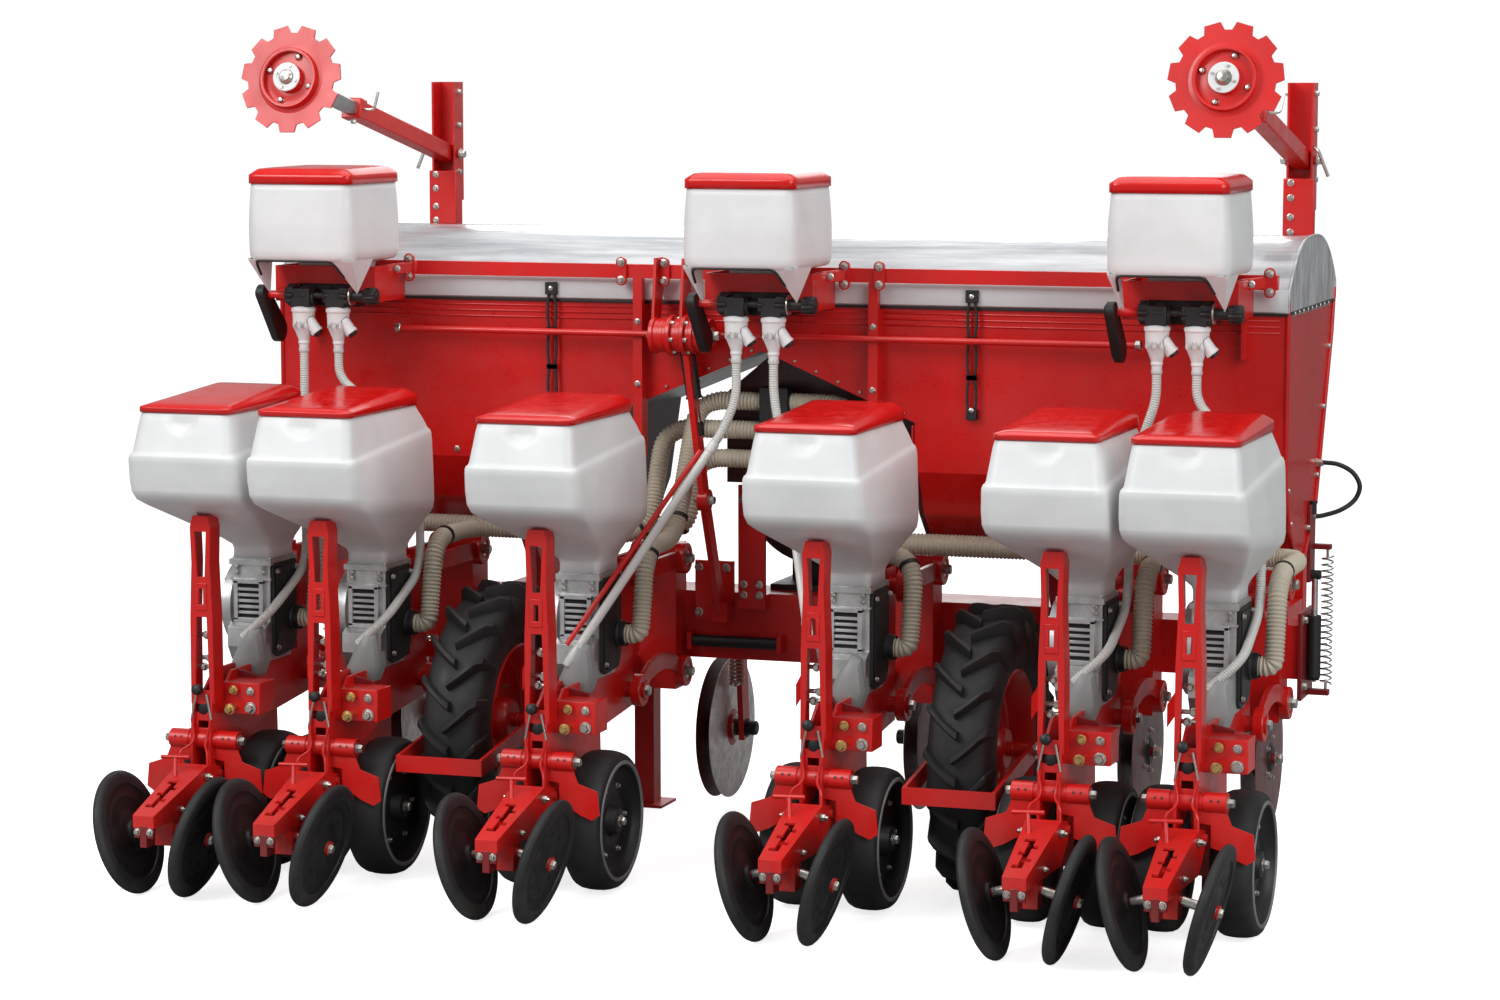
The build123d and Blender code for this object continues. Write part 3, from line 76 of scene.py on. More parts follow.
# Materials
class Nodes:
    """Short calls for a material's node tree."""

    def __init__(self, name):
        self.material = bpy.data.materials.new(name)
        self.material.use_nodes = True
        self.tree = self.material.node_tree
        self.shader = self.tree.nodes["Principled BSDF"]
        self.coords = self.tree.nodes.new("ShaderNodeTexCoord").outputs["Object"]

    def node(self, kind, links=None, **values):
        made = self.tree.nodes.new("ShaderNode" + kind)
        for key, value in values.items():
            setattr(made, key, value)
        for key, value in (links or {}).items():
            self.feed(made.inputs[key], value)
        return made

    def feed(self, socket, value):
        if isinstance(value, bpy.types.NodeSocket):
            self.tree.links.new(value, socket)
        else:
            socket.default_value = value

    def noise(self, scale, detail=4.0, rough=0.55, coords=None):
        made = self.node("TexNoise", {"Vector": coords or self.coords, "Scale": scale, "Detail": detail,
                                      "Roughness": rough})
        return made.outputs["Fac"]

    def ramp(self, value, stops):
        made = self.node("ValToRGB", {"Fac": value})
        elements = made.color_ramp.elements
        while len(elements) < len(stops):
            elements.new(0.5)
        for element, (at, colour) in zip(elements, stops):
            element.position = at
            element.color = (*colour, 1.0) if isinstance(colour, tuple) else (colour, colour, colour, 1.0)
        return made.outputs["Color"]

    def mix(self, amount, a, b, blend="MIX"):
        made = self.node("Mix", data_type="RGBA", blend_type=blend)
        for socket, value in ((made.inputs[0], amount), (made.inputs[6], a), (made.inputs[7], b)):
            self.feed(socket, (*value, 1.0) if isinstance(value, tuple) and len(value) == 3 else value)
        return made.outputs[2]

    def math(self, operation, a, b=0.0):
        made = self.node("Math", operation=operation)
        self.feed(made.inputs[0], a)
        self.feed(made.inputs[1], b)
        return made.outputs[0]

    def height(self):
        return self.node("SeparateXYZ", {"Vector": self.coords}).outputs["Z"]

    def bump(self, value, strength, distance, normal=None):
        links = {"Height": value, "Strength": strength, "Distance": distance}
        if normal is not None:
            links["Normal"] = normal
        return self.node("Bump", links).outputs["Normal"]

    def soft_edges(self, radius):
        return self.node("Bevel", {"Radius": radius}, samples=4).outputs["Normal"]

    def finish(self, **sockets):
        for key, value in sockets.items():
            self.feed(self.shader.inputs[key.replace("_", " ")], value)
        return self.material


def dusty(n, colour, dust, from_z, to_z, amount):
    """A colour that gathers dust towards the ground and in patches."""
    low_part = n.node("MapRange", {"Value": n.height(), "From Min": from_z, "From Max": to_z,
                                   "To Min": amount, "To Max": 0.0}).outputs[0]
    patches = n.ramp(n.noise(9.0, 6.0), [(0.38, 0.0), (0.68, 1.0)])
    return n.mix(n.math("MULTIPLY", low_part, patches), colour, dust)


def paint(name, colour, rough, peel, edge=0.0012):
    """Sprayed enamel: slight orange peel, cloudy tone, dust low down, softened edges."""
    n = Nodes(name)
    deep = tuple(c * 0.78 for c in colour)
    tone = n.mix(n.ramp(n.noise(3.5, 5.0), [(0.35, 0.0), (0.7, 1.0)]), colour, deep)
    tone = dusty(n, tone, (0.33, 0.27, 0.22), 0.0, 0.45, 0.12)
    grain = n.noise(900.0, 2.0)
    roughness = n.ramp(n.noise(14.0, 5.0), [(0.3, rough - 0.07), (0.75, rough + 0.1)])
    return n.finish(Base_Color=tone, Roughness=roughness, Coat_Weight=0.25, Coat_Roughness=0.18,
                    Normal=n.bump(grain, peel, 0.0004, n.soft_edges(edge)))


def rubber(name, colour, rough, scale=260.0):
    """Moulded rubber: fine pebble, pale bloom and floor dust."""
    n = Nodes(name)
    pale = tuple(min(1.0, c * 2.0 + 0.005) for c in colour)
    tone = n.mix(n.ramp(n.noise(7.0, 6.0), [(0.4, 0.0), (0.75, 0.8)]), colour, pale)
    tone = dusty(n, tone, (0.22, 0.2, 0.17), 0.0, 0.22, 0.2)
    roughness = n.ramp(n.noise(20.0, 4.0), [(0.3, rough - 0.08), (0.7, rough + 0.1)])
    return n.finish(Base_Color=tone, Roughness=roughness, Normal=n.bump(n.noise(scale, 3.0), 0.16, 0.0008))


def metal(name, colour, rough, scale, bump, spots=0.12):
    """Plain, zinc-plated or cast metal with mottled tone."""
    n = Nodes(name)
    dark = tuple(c * 0.72 for c in colour)
    tone = n.mix(n.ramp(n.noise(scale, 6.0), [(0.36, 0.0), (0.66, 1.0)]), colour, dark)
    tone = n.mix(n.math("MULTIPLY", n.ramp(n.noise(60.0, 4.0), [(0.58, 0.0), (0.72, 1.0)]), spots), tone,
                 (0.16, 0.12, 0.09))
    roughness = n.ramp(n.noise(scale * 2.0, 4.0), [(0.3, rough - 0.08), (0.7, rough + 0.12)])
    return n.finish(Base_Color=tone, Roughness=roughness, Metallic=1.0,
                    Normal=n.bump(n.noise(scale * 8.0, 4.0), bump, 0.0006, n.soft_edges(0.001)))


def moulded(name, colour, rough, bump=0.08, through=0.0, edge=0.002):
    """Moulded plastic: slight flow marks, faint mottling, light passing through where it is thin."""
    n = Nodes(name)
    off = tuple(c * 0.88 for c in colour)
    tone = n.mix(n.ramp(n.noise(5.0, 4.0), [(0.35, 0.0), (0.7, 1.0)]), colour, off)
    roughness = n.ramp(n.noise(24.0, 3.0), [(0.3, rough - 0.06), (0.7, rough + 0.08)])
    n.finish(Base_Color=tone, Roughness=roughness,
             Normal=n.bump(n.noise(340.0, 2.0), bump, 0.0005, n.soft_edges(edge)))
    if through:
        n.finish(Subsurface_Weight=through, Subsurface_Radius=(0.06, 0.055, 0.045), Subsurface_Scale=0.2)
    return n.material


TUNNEL_HALF = 0.44       # metres, half width of the painted shade in the gap between the two bins
TUNNEL_TOP = 1.40
TUNNEL_REAR = 723.0      # just inside the tank's rear wall


def tank_paint(name, colour, dark):
    """The tank's enamel, with the shade that lies in the tunnel between the two bins."""
    n = Nodes(name)
    deep = tuple(c * 0.8 for c in colour)
    tone = n.mix(n.ramp(n.noise(3.0, 5.0), [(0.35, 0.0), (0.7, 1.0)]), colour, deep)
    axes = n.node("SeparateXYZ", {"Vector": n.coords}).outputs
    # painted shade: a dark colour inside the tunnel's half width, forward of the rear wall and below its top
    inside = n.math("LESS_THAN", n.math("ABSOLUTE", axes["X"]), TUNNEL_HALF)
    inside = n.math("MULTIPLY", inside, n.math("GREATER_THAN", axes["Y"], place(0, TUNNEL_REAR, 0).y))
    inside = n.math("MULTIPLY", inside, n.math("LESS_THAN", axes["Z"], TUNNEL_TOP))
    tone = n.mix(inside, tone, dark)
    roughness = n.ramp(n.noise(14.0, 5.0), [(0.3, 0.24), (0.75, 0.4)])
    return n.finish(Base_Color=tone, Roughness=roughness,
                    Normal=n.bump(n.noise(900.0, 2.0), 0.08, 0.0004, n.soft_edges(0.0012)),
                    Coat_Weight=0.25, Coat_Roughness=0.15)


def film(name):
    """Thin glossy film: pale, streaked along the machine, with fine creases."""
    n = Nodes(name)
    drawn = n.node("Mapping", {"Vector": n.coords, "Scale": (0.6, 7.0, 2.0)}).outputs[0]
    tone = n.mix(n.ramp(n.noise(4.0, 6.0, coords=drawn), [(0.36, 0.0), (0.66, 1.0)]), (0.66, 0.68, 0.70),
                 (0.36, 0.38, 0.40))
    roughness = n.ramp(n.noise(10.0, 4.0, coords=drawn), [(0.3, 0.08), (0.75, 0.26)])
    creases = n.bump(n.noise(7.0, 7.0, 0.6, coords=drawn), 0.5, 0.006)
    return n.finish(Base_Color=tone, Roughness=roughness, Normal=creases, Coat_Weight=0.5,
                    Coat_Roughness=0.06)


RED = paint("red_enamel", (0.68, 0.007, 0.005), 0.36, 0.10)
# painted shade: a darker copy of the red enamel, for plates that lie in shadow
PAINTED_SHADE_RED = paint("shaded_enamel", (0.22, 0.005, 0.008), 0.42, 0.10)
# the depth disc's dark red enamel, darkened further as painted shade
SHADED_DEPTH_RED = paint("depth_disc_enamel_and_shade", (0.12, 0.004, 0.008), 0.40, 0.12)
# the second colour is painted shade in the tunnel between the two bins
TANK_RED = tank_paint("tank_enamel", (0.62, 0.006, 0.005), (0.05, 0.004, 0.008))
LID_RED = moulded("lid_gloss_red", (0.66, 0.007, 0.006), 0.18, 0.03, edge=0.003)
WHITE = moulded("hopper_polythene", (0.79, 0.80, 0.80), 0.40, 0.10, through=0.15, edge=0.004)
CAST = metal("cast_aluminium", (0.70, 0.71, 0.71), 0.46, 22.0, 0.25)
STEEL = metal("coulter_steel", (0.80, 0.77, 0.75), 0.42, 30.0, 0.10, spots=0.06)
SPRING = paint("spring_primer", (0.50, 0.36, 0.30), 0.44, 0.10)
ZINC = metal("zinc_plate", (0.66, 0.65, 0.60), 0.30, 40.0, 0.08, spots=0.04)
GALVANISED = metal("galvanised_tube", (0.55, 0.56, 0.57), 0.42, 16.0, 0.10, spots=0.05)
CHROME = metal("chromed_rod", (0.78, 0.78, 0.79), 0.16, 50.0, 0.03, spots=0.02)
BRASS = metal("brass", (0.72, 0.50, 0.20), 0.32, 40.0, 0.08, spots=0.05)
TREAD = rubber("wheel_rubber", (0.011, 0.011, 0.012), 0.60)
TYRE = rubber("tyre_rubber", (0.012, 0.012, 0.013), 0.62)
BLACK = moulded("black_plastic", (0.012, 0.012, 0.013), 0.48, 0.12)
SHEET = film("cover_film")
HEM = moulded("cover_hem", (0.62, 0.64, 0.65), 0.35, 0.12)
HOSE = moulded("hose_plastic", (0.58, 0.53, 0.42), 0.42, 0.06)
CLEAR = moulded("tube_plastic", (0.66, 0.67, 0.64), 0.2, 0.03, through=0.3)
PIPE = moulded("white_pipe", (0.76, 0.76, 0.73), 0.34, 0.05)
CHUTE_GREY = moulded("chute_plastic", (0.30, 0.31, 0.31), 0.40, 0.08)
SCUFFED = rubber("scuffed_lip", (0.16, 0.165, 0.165), 0.55)
# near-black painted shadow, for holes and recesses
SHADOW = moulded("recess_painted_shadow", (0.006, 0.006, 0.006), 0.7)


# Mesh building
def mesh_piece(name, points, faces, *materials):
    """A mesh object in the row frame, smooth with its sharp edges kept."""
    mesh = bpy.data.meshes.new(name)
    mesh.from_pydata([tuple(p) for p in points], [], faces)
    for material in materials:
        mesh.materials.append(material)
    mesh.shade_smooth()
    mesh.set_sharp_from_angle(angle=math.radians(38))
    piece = bpy.data.objects.new(name, mesh)
    bpy.context.collection.objects.link(piece)
    return piece


def circle(mid, side, up, radius, count):
    """A ring of points in the plane of side and up, its radius in millimetres."""
    turns = [2 * math.pi * k / count for k in range(count)]
    return [mid + (side * math.cos(a) + up * math.sin(a)) * (radius / 1000) for a in turns]


def walled(piece, thickness):
    """Gives an open skin its wall, towards the inside."""
    wall = piece.modifiers.new("wall", "SOLIDIFY")
    wall.thickness = thickness
    wall.offset = -1


class Build:
    """Collects points, faces and material numbers for one mesh."""

    def __init__(self):
        self.points, self.faces, self.numbers = [], [], []

    def add(self, points, faces, number=0):
        start = len(self.points)
        self.points += [Vector(p) for p in points]
        self.faces += [tuple(start + i for i in face) for face in faces]
        self.numbers += [number] * len(faces)

    def rings(self, rings, number=0, closed=True, cap_start=False, cap_end=False):
        """Skins a row of equal rings."""
        count = len(rings[0])
        points = [p for ring in rings for p in ring]
        faces = []
        for r in range(len(rings) - 1):
            for k in range(count if closed else count - 1):
                n = (k + 1) % count
                faces.append((r * count + k, r * count + n, (r + 1) * count + n, (r + 1) * count + k))
        if cap_start:
            faces.append(tuple(range(count))[::-1])
        if cap_end:
            faces.append(tuple((len(rings) - 1) * count + k for k in range(count)))
        self.add(points, faces, number)

    def lathe(self, profile, centre, axis, segments=64, number=0):
        """Turns along, radius points (millimetres) about an axis through centre."""
        axis = Vector(axis).normalized()
        side = axis.orthogonal().normalized()
        up = axis.cross(side)
        rings = []
        for along, radius in profile:
            rings.append(circle(Vector(centre) + axis * (along / 1000), side, up, radius, segments))
        self.rings(rings, number)

    def bolt(self, centre, axis, across, number=0, washer=True):
        """A hexagon head with a chamfered top on a washer, standing along axis from centre."""
        r = across / 2
        axis = Vector(axis).normalized()
        if washer:
            rim = [(0, r * 1.35), (1.6, r * 1.35), (2.0, r * 1.25), (2.0, 0.01)]
            self.lathe(rim, centre, axis, 20, number)
        head = [(1.8, r), (across * 0.55, r), (across * 0.66, r * 0.84), (across * 0.66, 0.01)]
        self.lathe(head, centre, axis, 6, number)

    def box(self, x0, x1, y0, y1, z0, z1, number=0):
        """A block between two corners, given in either order."""
        points = [place(x, y, z) for x in sorted((x0, x1)) for y in sorted((y0, y1)) for z in (z0, z1)]
        faces = [(0, 1, 3, 2), (4, 6, 7, 5), (0, 4, 5, 1), (2, 3, 7, 6), (0, 2, 6, 4), (1, 5, 7, 3)]
        self.add(points, faces, number)

    def plate(self, outline, thickness, number=0):
        """A flat plate: outline of points in space, thickened by a vector."""
        count = len(outline)
        points = [Vector(p) for p in outline] + [Vector(p) + Vector(thickness) for p in outline]
        faces = [tuple(range(count))[::-1], tuple(range(count, 2 * count))]
        for k in range(count):
            n = (k + 1) % count
            faces.append((k, n, count + n, count + k))
        self.add(points, faces, number)

    def wire(self, path, radius, sides=8, number=0):
        """A round bar along a list of points; radius is one value, or a list of values used in turn."""
        radii = radius if isinstance(radius, list) else [radius]
        rings = []
        side = None
        for k, point in enumerate(path):
            ahead = (path[min(k + 1, len(path) - 1)] - path[max(k - 1, 0)]).normalized()
            if side is None:
                side = ahead.orthogonal().normalized()
            side = (side - ahead * side.dot(ahead)).normalized()
            up = ahead.cross(side)
            rings.append(circle(point, side, up, radii[k % len(radii)], sides))
        self.rings(rings, number, cap_start=True, cap_end=True)

    def piece(self, name, body, slot, *materials, bevel=0.0, replaces=()):
        made = mesh_piece(name, self.points, self.faces, *materials)
        made.data.polygons.foreach_set("material_index", self.numbers)
        if bevel:
            soften = made.modifiers.new("edges", "BEVEL")
            soften.width = bevel
            soften.segments = 2
            soften.limit_method = "ANGLE"
        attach(made, body)
        for node in replaces:
            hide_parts(node)
        return made


def smooth_path(points, radius=0.03, steps=6):
    """Straight runs with rounded corners, for bent bars."""
    path = [Vector(points[0])]
    for before, corner, after in zip(points, points[1:], points[2:]):
        corner = Vector(corner)
        back, on = Vector(before) - corner, Vector(after) - corner
        cut = min(radius, back.length * 0.45, on.length * 0.45)
        start, end = corner + back.normalized() * cut, corner + on.normalized() * cut
        for k in range(steps + 1):
            t = k / steps
            path.append(start * (1 - t) ** 2 + corner * 2 * t * (1 - t) + end * t ** 2)
    path.append(Vector(points[-1]))
    return path


def rounded_ring(half, y0, z0, y1, z1, corner, per_corner=6, sides=(10, 14)):
    """A rounded rectangle as a ring of points: rear edge at y0, z0 and front edge at y1, z1."""
    length = math.hypot(y1 - y0, z1 - z0)
    flat = []
    hx, hy = half, length / 2
    arcs = [(hx - corner, hy - corner, 0), (-hx + corner, hy - corner, 90), (-hx + corner, -hy + corner, 180),
            (hx - corner, -hy + corner, 270)]
    for k, (cx, cy, start) in enumerate(arcs):
        arc = []
        for i in range(per_corner + 1):
            a = math.radians(start + 90 * i / per_corner)
            arc.append((cx + corner * math.cos(a), cy + corner * math.sin(a)))
        flat += arc
        nx, ny, nstart = arcs[(k + 1) % 4]
        a = math.radians(nstart)
        goal = (nx + corner * math.cos(a), ny + corner * math.sin(a))
        steps = sides[k % 2]
        for i in range(1, steps):
            t = i / steps
            flat.append((arc[-1][0] * (1 - t) + goal[0] * t, arc[-1][1] * (1 - t) + goal[1] * t))
    mid_y, mid_z = (y0 + y1) / 2, (z0 + z1) / 2
    uy, uz = (y1 - y0) / length, (z1 - z0) / length
    return [(x, mid_y + v * uy, mid_z + v * uz) for x, v in flat]


# Finishes of the CAD nodes that show as they are
FINISH = [
    ("fertilizer_tank", TANK_RED), ("seed_lid", LID_RED), ("granule_lid", LID_RED), ("seed_hoppers", WHITE),
    ("granule_hoppers", WHITE), ("granule_cups", WHITE), ("seed_meters", CAST), ("granule_drives", BLACK),
    ("gauge_wheels", TREAD), ("press_wheel", TREAD), ("drive_wheel", TYRE), ("coulter_disc", STEEL),
    ("tank_cover", SHEET), ("vacuum_hoses", HOSE), ("seed_tubes", CLEAR), ("vacuum_fan", BLACK), ("", RED),
]
for name, node in frame["nodes"].items():
    finish = next(material for start, material in FINISH if name.startswith(start))
    node.data.materials.clear()
    node.data.materials.append(finish)


# Wheels
# Wheel profiles are rows of distance along the axle and radius
PRESS_TYRE = [(-13, 128), (-14, 134), (-14.5, 146), (-13, 155), (-9, 161.5), (-4, 164.4), (0, 165),
              (4, 164.4), (9, 161.5), (13, 155), (14.5, 146), (14, 134), (13, 128)]
PRESS_FACE = [(13, 128), (9, 126), (7, 118), (6, 104), (8, 100), (8, 94), (6, 90), (5, 62), (8, 52), (11, 46),
              (11, 30), (14, 26), (15, 22), (15, 0.01)]
PRESS_BACK = [(-along, radius) for along, radius in PRESS_FACE[:-2]] + [(-21, 24), (-21, 11)]
PRESS_HOLES = 8
PRESS_HOLE_RING = 0.076
GAUGE_TYRE = [(44, 98), (44, 118), (46, 150), (50, 166), (58, 177), (68, 182), (84, 184.4), (101, 185),
              (120, 184.2), (134, 181.4), (146, 177), (152, 172), (155, 166), (156.5, 160)]
GAUGE_LIP = [(156.5, 160), (159, 158), (159, 151), (155, 149)]
GAUGE_FACE = [(155, 149), (146, 146), (134, 140), (127, 132), (125, 120), (125, 84), (129, 76), (129, 62),
              (125, 54), (125, 42), (138, 37), (149, 33), (151, 26), (151, 0.01)]
GAUGE_BACK = [(44, 98), (47, 90), (47, 40), (42, 36), (42, 15.5)]


def spokes(count, start=0.0):
    """Unit arms round the x axis."""
    turns = [start + 2 * math.pi * i / count for i in range(count)]
    return [Vector((0, math.cos(a), math.sin(a))) for a in turns]


def press_wheels():
    """Twelve narrow wheels: round rubber tread, ribbed disc, plated nut."""
    for k in range(1, 7):
        for side, word in ((-1, "left"), (1, "right")):
            body = f"press_wheel_{k}_{word}"
            joint = joint_of(body)
            centre, out = Vector(joint["pos_m"]), Vector(joint["axis"]) * side
            b = Build()
            b.lathe(PRESS_TYRE, centre, out, 72, 0)
            b.lathe(PRESS_FACE, centre, out, 72, 1)
            b.lathe(PRESS_BACK, centre, out, 72, 1)
            spoke = out.orthogonal().normalized()
            # each hole is shown as a disc in painted shadow
            for i in range(PRESS_HOLES):
                arm = Matrix.Rotation(2 * math.pi * i / PRESS_HOLES, 3, out) @ spoke
                rim = [(5.6, 7.5), (6.4, 7.0), (5.7, 5.4), (5.7, 0.01)]
                b.lathe(rim, centre + arm * PRESS_HOLE_RING, out, 14, 3)
            b.bolt(centre + out * 0.0152, out, 26, 2)
            b.piece(f"{body}_dressed", body, "rubber", TREAD, BLACK, ZINC, SHADOW, replaces=[body])


def gauge_wheels():
    """Six pairs of broad smooth wheels with a scuffed lip and a dished disc."""
    for k in range(1, 7):
        body = f"gauge_wheels_{k}"
        centre = Vector(joint_of(body)["pos_m"])
        b = Build()
        for side in (-1, 1):
            out = Vector((side, 0, 0))
            b.lathe(GAUGE_TYRE, centre, out, 96, 0)
            b.lathe(GAUGE_LIP, centre, out, 96, 3)
            b.lathe(GAUGE_FACE, centre, out, 96, 1)
            b.lathe(GAUGE_BACK, centre, out, 64, 1)
            for arm in spokes(6):
                b.bolt(centre + out * 0.125 + arm * 0.098, out, 13, 2)
            b.bolt(centre + out * 0.1512, out, 24, 2)
        b.lathe([(-60, 15), (60, 15)], centre, (1, 0, 0), 24, 2)
        b.piece(f"{body}_dressed", body, "rubber", TREAD, BLACK, ZINC, SCUFFED, replaces=[body])


LUGS = 19
LUG_SWEEP = 1.35
LUG_TOP = 380.0
TYRE_BASE = [(-85, 268), (-85, 300), (-82, 322), (-74, 338), (-58, 347), (-30, 351), (0, 352), (30, 351),
             (58, 347), (74, 338), (82, 322), (85, 300), (85, 268), (80, 240), (72, 224), (66, 212)]
RIM_FACE = [(66, 212), (70, 206), (62, 200), (48, 190), (20, 178), (4, 172), (-2, 160), (-2, 74), (6, 64),
            (36, 58), (46, 50), (46, 20.5)]


def tread_radius(x):
    """Radius of the tyre's casing at x from its middle."""
    x = abs(x)
    for (x0, r0), (x1, r1) in zip(TYRE_BASE[6:], TYRE_BASE[7:]):
        if x0 <= x <= x1:
            return r0 + (r1 - r0) * (x - x0) / (x1 - x0)
    return TYRE_BASE[11][1]


def drive_wheels():
    """Two lugged tyres on red rims; the lugs meet in arrows that point up at the rear."""
    for word in ("left", "right"):
        body = f"drive_wheel_{word}"
        centre = Vector(joint_of(body)["pos_m"])
        b = Build()
        b.lathe(TYRE_BASE, centre, (1, 0, 0), 96, 0)
        b.lathe([(-along, radius) for along, radius in TYRE_BASE[-4:]], centre, (1, 0, 0), 96, 0)
        for sign in (-1, 1):
            b.lathe([(sign * along, radius) for along, radius in RIM_FACE], centre, (1, 0, 0), 72, 1)
            for arm in spokes(6):
                b.bolt(centre + Vector((-sign * 0.002, 0, 0)) + arm * 0.095, (sign, 0, 0), 19, 2)
            b.bolt(centre + Vector((sign * 0.062, 0, 0)), (sign, 0, 0), 30, 2)
        for side in (-1, 1):
            for i in range(LUGS):
                lug(b, centre, side, 2 * math.pi * (i + (0.5 if side > 0 else 0.0)) / LUGS)
        b.piece(f"{body}_dressed", body, "tyre", TYRE, RED, ZINC, replaces=[body])


LUG_RUN = [   # x from the middle, angle behind the arrow's tip, height over the casing, half width
    (-6, 0.000, 24, 15), (10, 0.020, 28, 14), (30, 0.052, 30, 13), (50, 0.088, 32, 13),
    (66, 0.122, 36, 14), (78, 0.148, 34, 16), (85, 0.166, 16, 18), (86.2, 0.180, 1, 20),
]


def lug(b, centre, side, turn):
    """One bar of the tread, swept from the middle out over the shoulder."""
    rings = []
    for x, behind, tall, half in LUG_RUN:
        angle = turn + behind * LUG_SWEEP
        base = tread_radius(min(abs(x), 84.9)) if x < 85 else 290
        out = Vector((0, math.sin(angle), math.cos(angle)))
        along = Vector((0, math.cos(angle), -math.sin(angle)))
        top_half = half * 0.62
        mid = centre + Vector((side * x / 1000, 0, 0))
        low, top = base - 6, min(base + tall, LUG_TOP)
        lean = Vector((side * 0.004, 0, 0)) if x > 70 else Vector()
        rings.append([mid + out * low / 1000 - along * half / 1000,
                      mid + out * (top - 5) / 1000 - along * (top_half + 2) / 1000,
                      mid + lean + out * top / 1000 - along * top_half * 0.75 / 1000,
                      mid + lean + out * top / 1000 + along * top_half * 0.75 / 1000,
                      mid + out * (top - 5) / 1000 + along * (top_half + 2) / 1000,
                      mid + out * low / 1000 + along * half / 1000])
    if side < 0:
        rings = [ring[::-1] for ring in rings]
    b.rings(rings, 0, closed=False)
    b.add(rings[0], [tuple(range(6))[::-1]], 0)
    b.add(rings[-1], [tuple(range(6))], 0)


# Hoppers and lids
HOPPER_LOOPS = [   # half width, rear y, rear z, front y, front z, corner radius
    (58, 300, 825, 452, 825, 16), (58, 300, 850, 452, 850, 18), (61, 294, 862, 455, 858, 22),
    (74, 250, 884, 452, 876, 30), (118, 82, 954, 440, 926, 36), (148, -40, 1004, 430, 958, 36),
    (156, -82, 1024, 427, 970, 34), (160, -99, 1046, 424, 992, 32), (160, -108, 1080, 421, 1050, 30),
    (157, -118, 1124, 418, 1160, 30), (155.5, -120.5, 1136, 417, 1178, 30),
    (152.5, -119, 1144, 415, 1187, 30), (148, -114.5, 1147.5, 411, 1191, 29),
    (146, -112, 1154, 408, 1196, 28), (141, -102.5, 1190, 393, 1217, 27), (135, -91, 1234, 371, 1240, 25),
    (131, -84.5, 1253, 362.5, 1253, 23), (129.5, -83, 1256, 361, 1256, 22),
]
SCOOP_RADIUS = 46.0
SCOOP_DEPTH = 7.0
SCOOP_MID = 1246.0
SCOOP_TOP = 1248.0


def refined(loops, steps):
    """The loops with in-between ones where two lie far apart in height."""
    out = []
    for lower, upper in zip(loops, loops[1:]):
        count = steps if upper[2] - lower[2] > 30 else 1
        for i in range(count):
            t = i / count
            out.append([u * t + v * (1 - t) for u, v in zip(upper, lower)])
    return out + [list(loops[-1])]


def seed_hopper_pieces():
    """Six blow-moulded hoppers, with a thumb scoop under the lid's rear edge."""
    for k, row in enumerate(ROWS, 1):
        b = Build()
        rings = []
        for loop in refined(HOPPER_LOOPS, 6):
            ring = []
            for x, y, z in rounded_ring(*loop, sides=(22, 16)):
                drop = math.hypot(x, z - SCOOP_MID)
                if y < loop[1] + 40 and z < SCOOP_TOP and drop < SCOOP_RADIUS:
                    y += SCOOP_DEPTH * min(1.0, (SCOOP_RADIUS - drop) / 14)
                ring.append(place(row + x, y, z))
            rings.append(ring)
        b.rings(rings)
        tank = b.piece(f"seed_hopper_{k}_dressed", "machine", "white_tank", WHITE, replaces=["seed_hoppers"])
        walled(tank, 0.005)
        pin = Build()
        hinge(pin, row, HOPPER_LOOPS[-1][3] + HINGE_OUT, 1244, 362)
        pin.piece(f"seed_hopper_{k}_hinge", "machine", "white_tank", WHITE, ZINC, bevel=0.0015)


def hinge(b, x, y, z, wall_y):
    """Pin between two lugs on a hopper's front wall."""
    b.lathe([(-53, 0.01), (-53, 4), (53, 4), (53, 0.01)], place(x, y, z), (1, 0, 0), 16, 1)
    for sign in (-1, 1):
        x0 = x + sign * 49 - 4
        b.box(x0, x0 + 8, wall_y - 4, y + 9, z - 9, z + 9)


HINGE_BELOW = 12.3       # from the lid's seat down to its pin
KNUCKLE_HALF = 44.0


def lid_piece(name, body, node_x, half, y0, y1, z, rear_t, front_t, edge, crown):
    """A glossy cap: straight skirt, rolled edge, lightly crowned top, hollow below."""
    h, r0, r1 = half + 4, y0 - 4, y1 + 4
    b = Build()
    rings = []
    for inset, share, corner in ((0, 0.0, 24), (0, 0.55, 24), (1.5, 0.63, 24), (edge - 2, 0.95, 19),
                                 (edge + 3, 1.0, 18)):
        rings.append(rounded_ring(h - inset, r0 + inset, z + rear_t * share, r1 - inset, z + front_t * share,
                                  corner))
    top = rings[-1]
    mid = (r0 + r1) / 2
    for shrink, rise in ((0.8, 0.55), (0.5, 0.9), (0.2, 1.0)):
        rings.append([(x * shrink, mid + (y - mid) * shrink, zz + crown * rise
                       + (z + (rear_t + front_t) / 2 - zz) * (1 - shrink)) for x, y, zz in top])
    b.rings([[place(node_x + x, y, zz) for x, y, zz in ring] for ring in rings], cap_end=True)
    walled(b.piece(name, body, "red_lid", LID_RED, replaces=[body]), 0.004)
    knuckle = Build()
    yh, zh = y1 + HINGE_OUT, z - HINGE_BELOW
    left, right = node_x - KNUCKLE_HALF, node_x + KNUCKLE_HALF
    tube = [(-KNUCKLE_HALF, 4.3), (-KNUCKLE_HALF, 9), (KNUCKLE_HALF, 9), (KNUCKLE_HALF, 4.3)]
    knuckle.lathe(tube, place(node_x, yh, zh), (1, 0, 0), 20)
    knuckle.box(left, right, y1 + 1.6, yh + 7, z + 0.2, z + 8)
    knuckle.box(left, right, y1 + HINGE_OUT / 2 + 1, yh + 7, zh + 4, z + 1)
    knuckle.piece(name + "_knuckle", body, "red_lid", LID_RED, bevel=0.001)


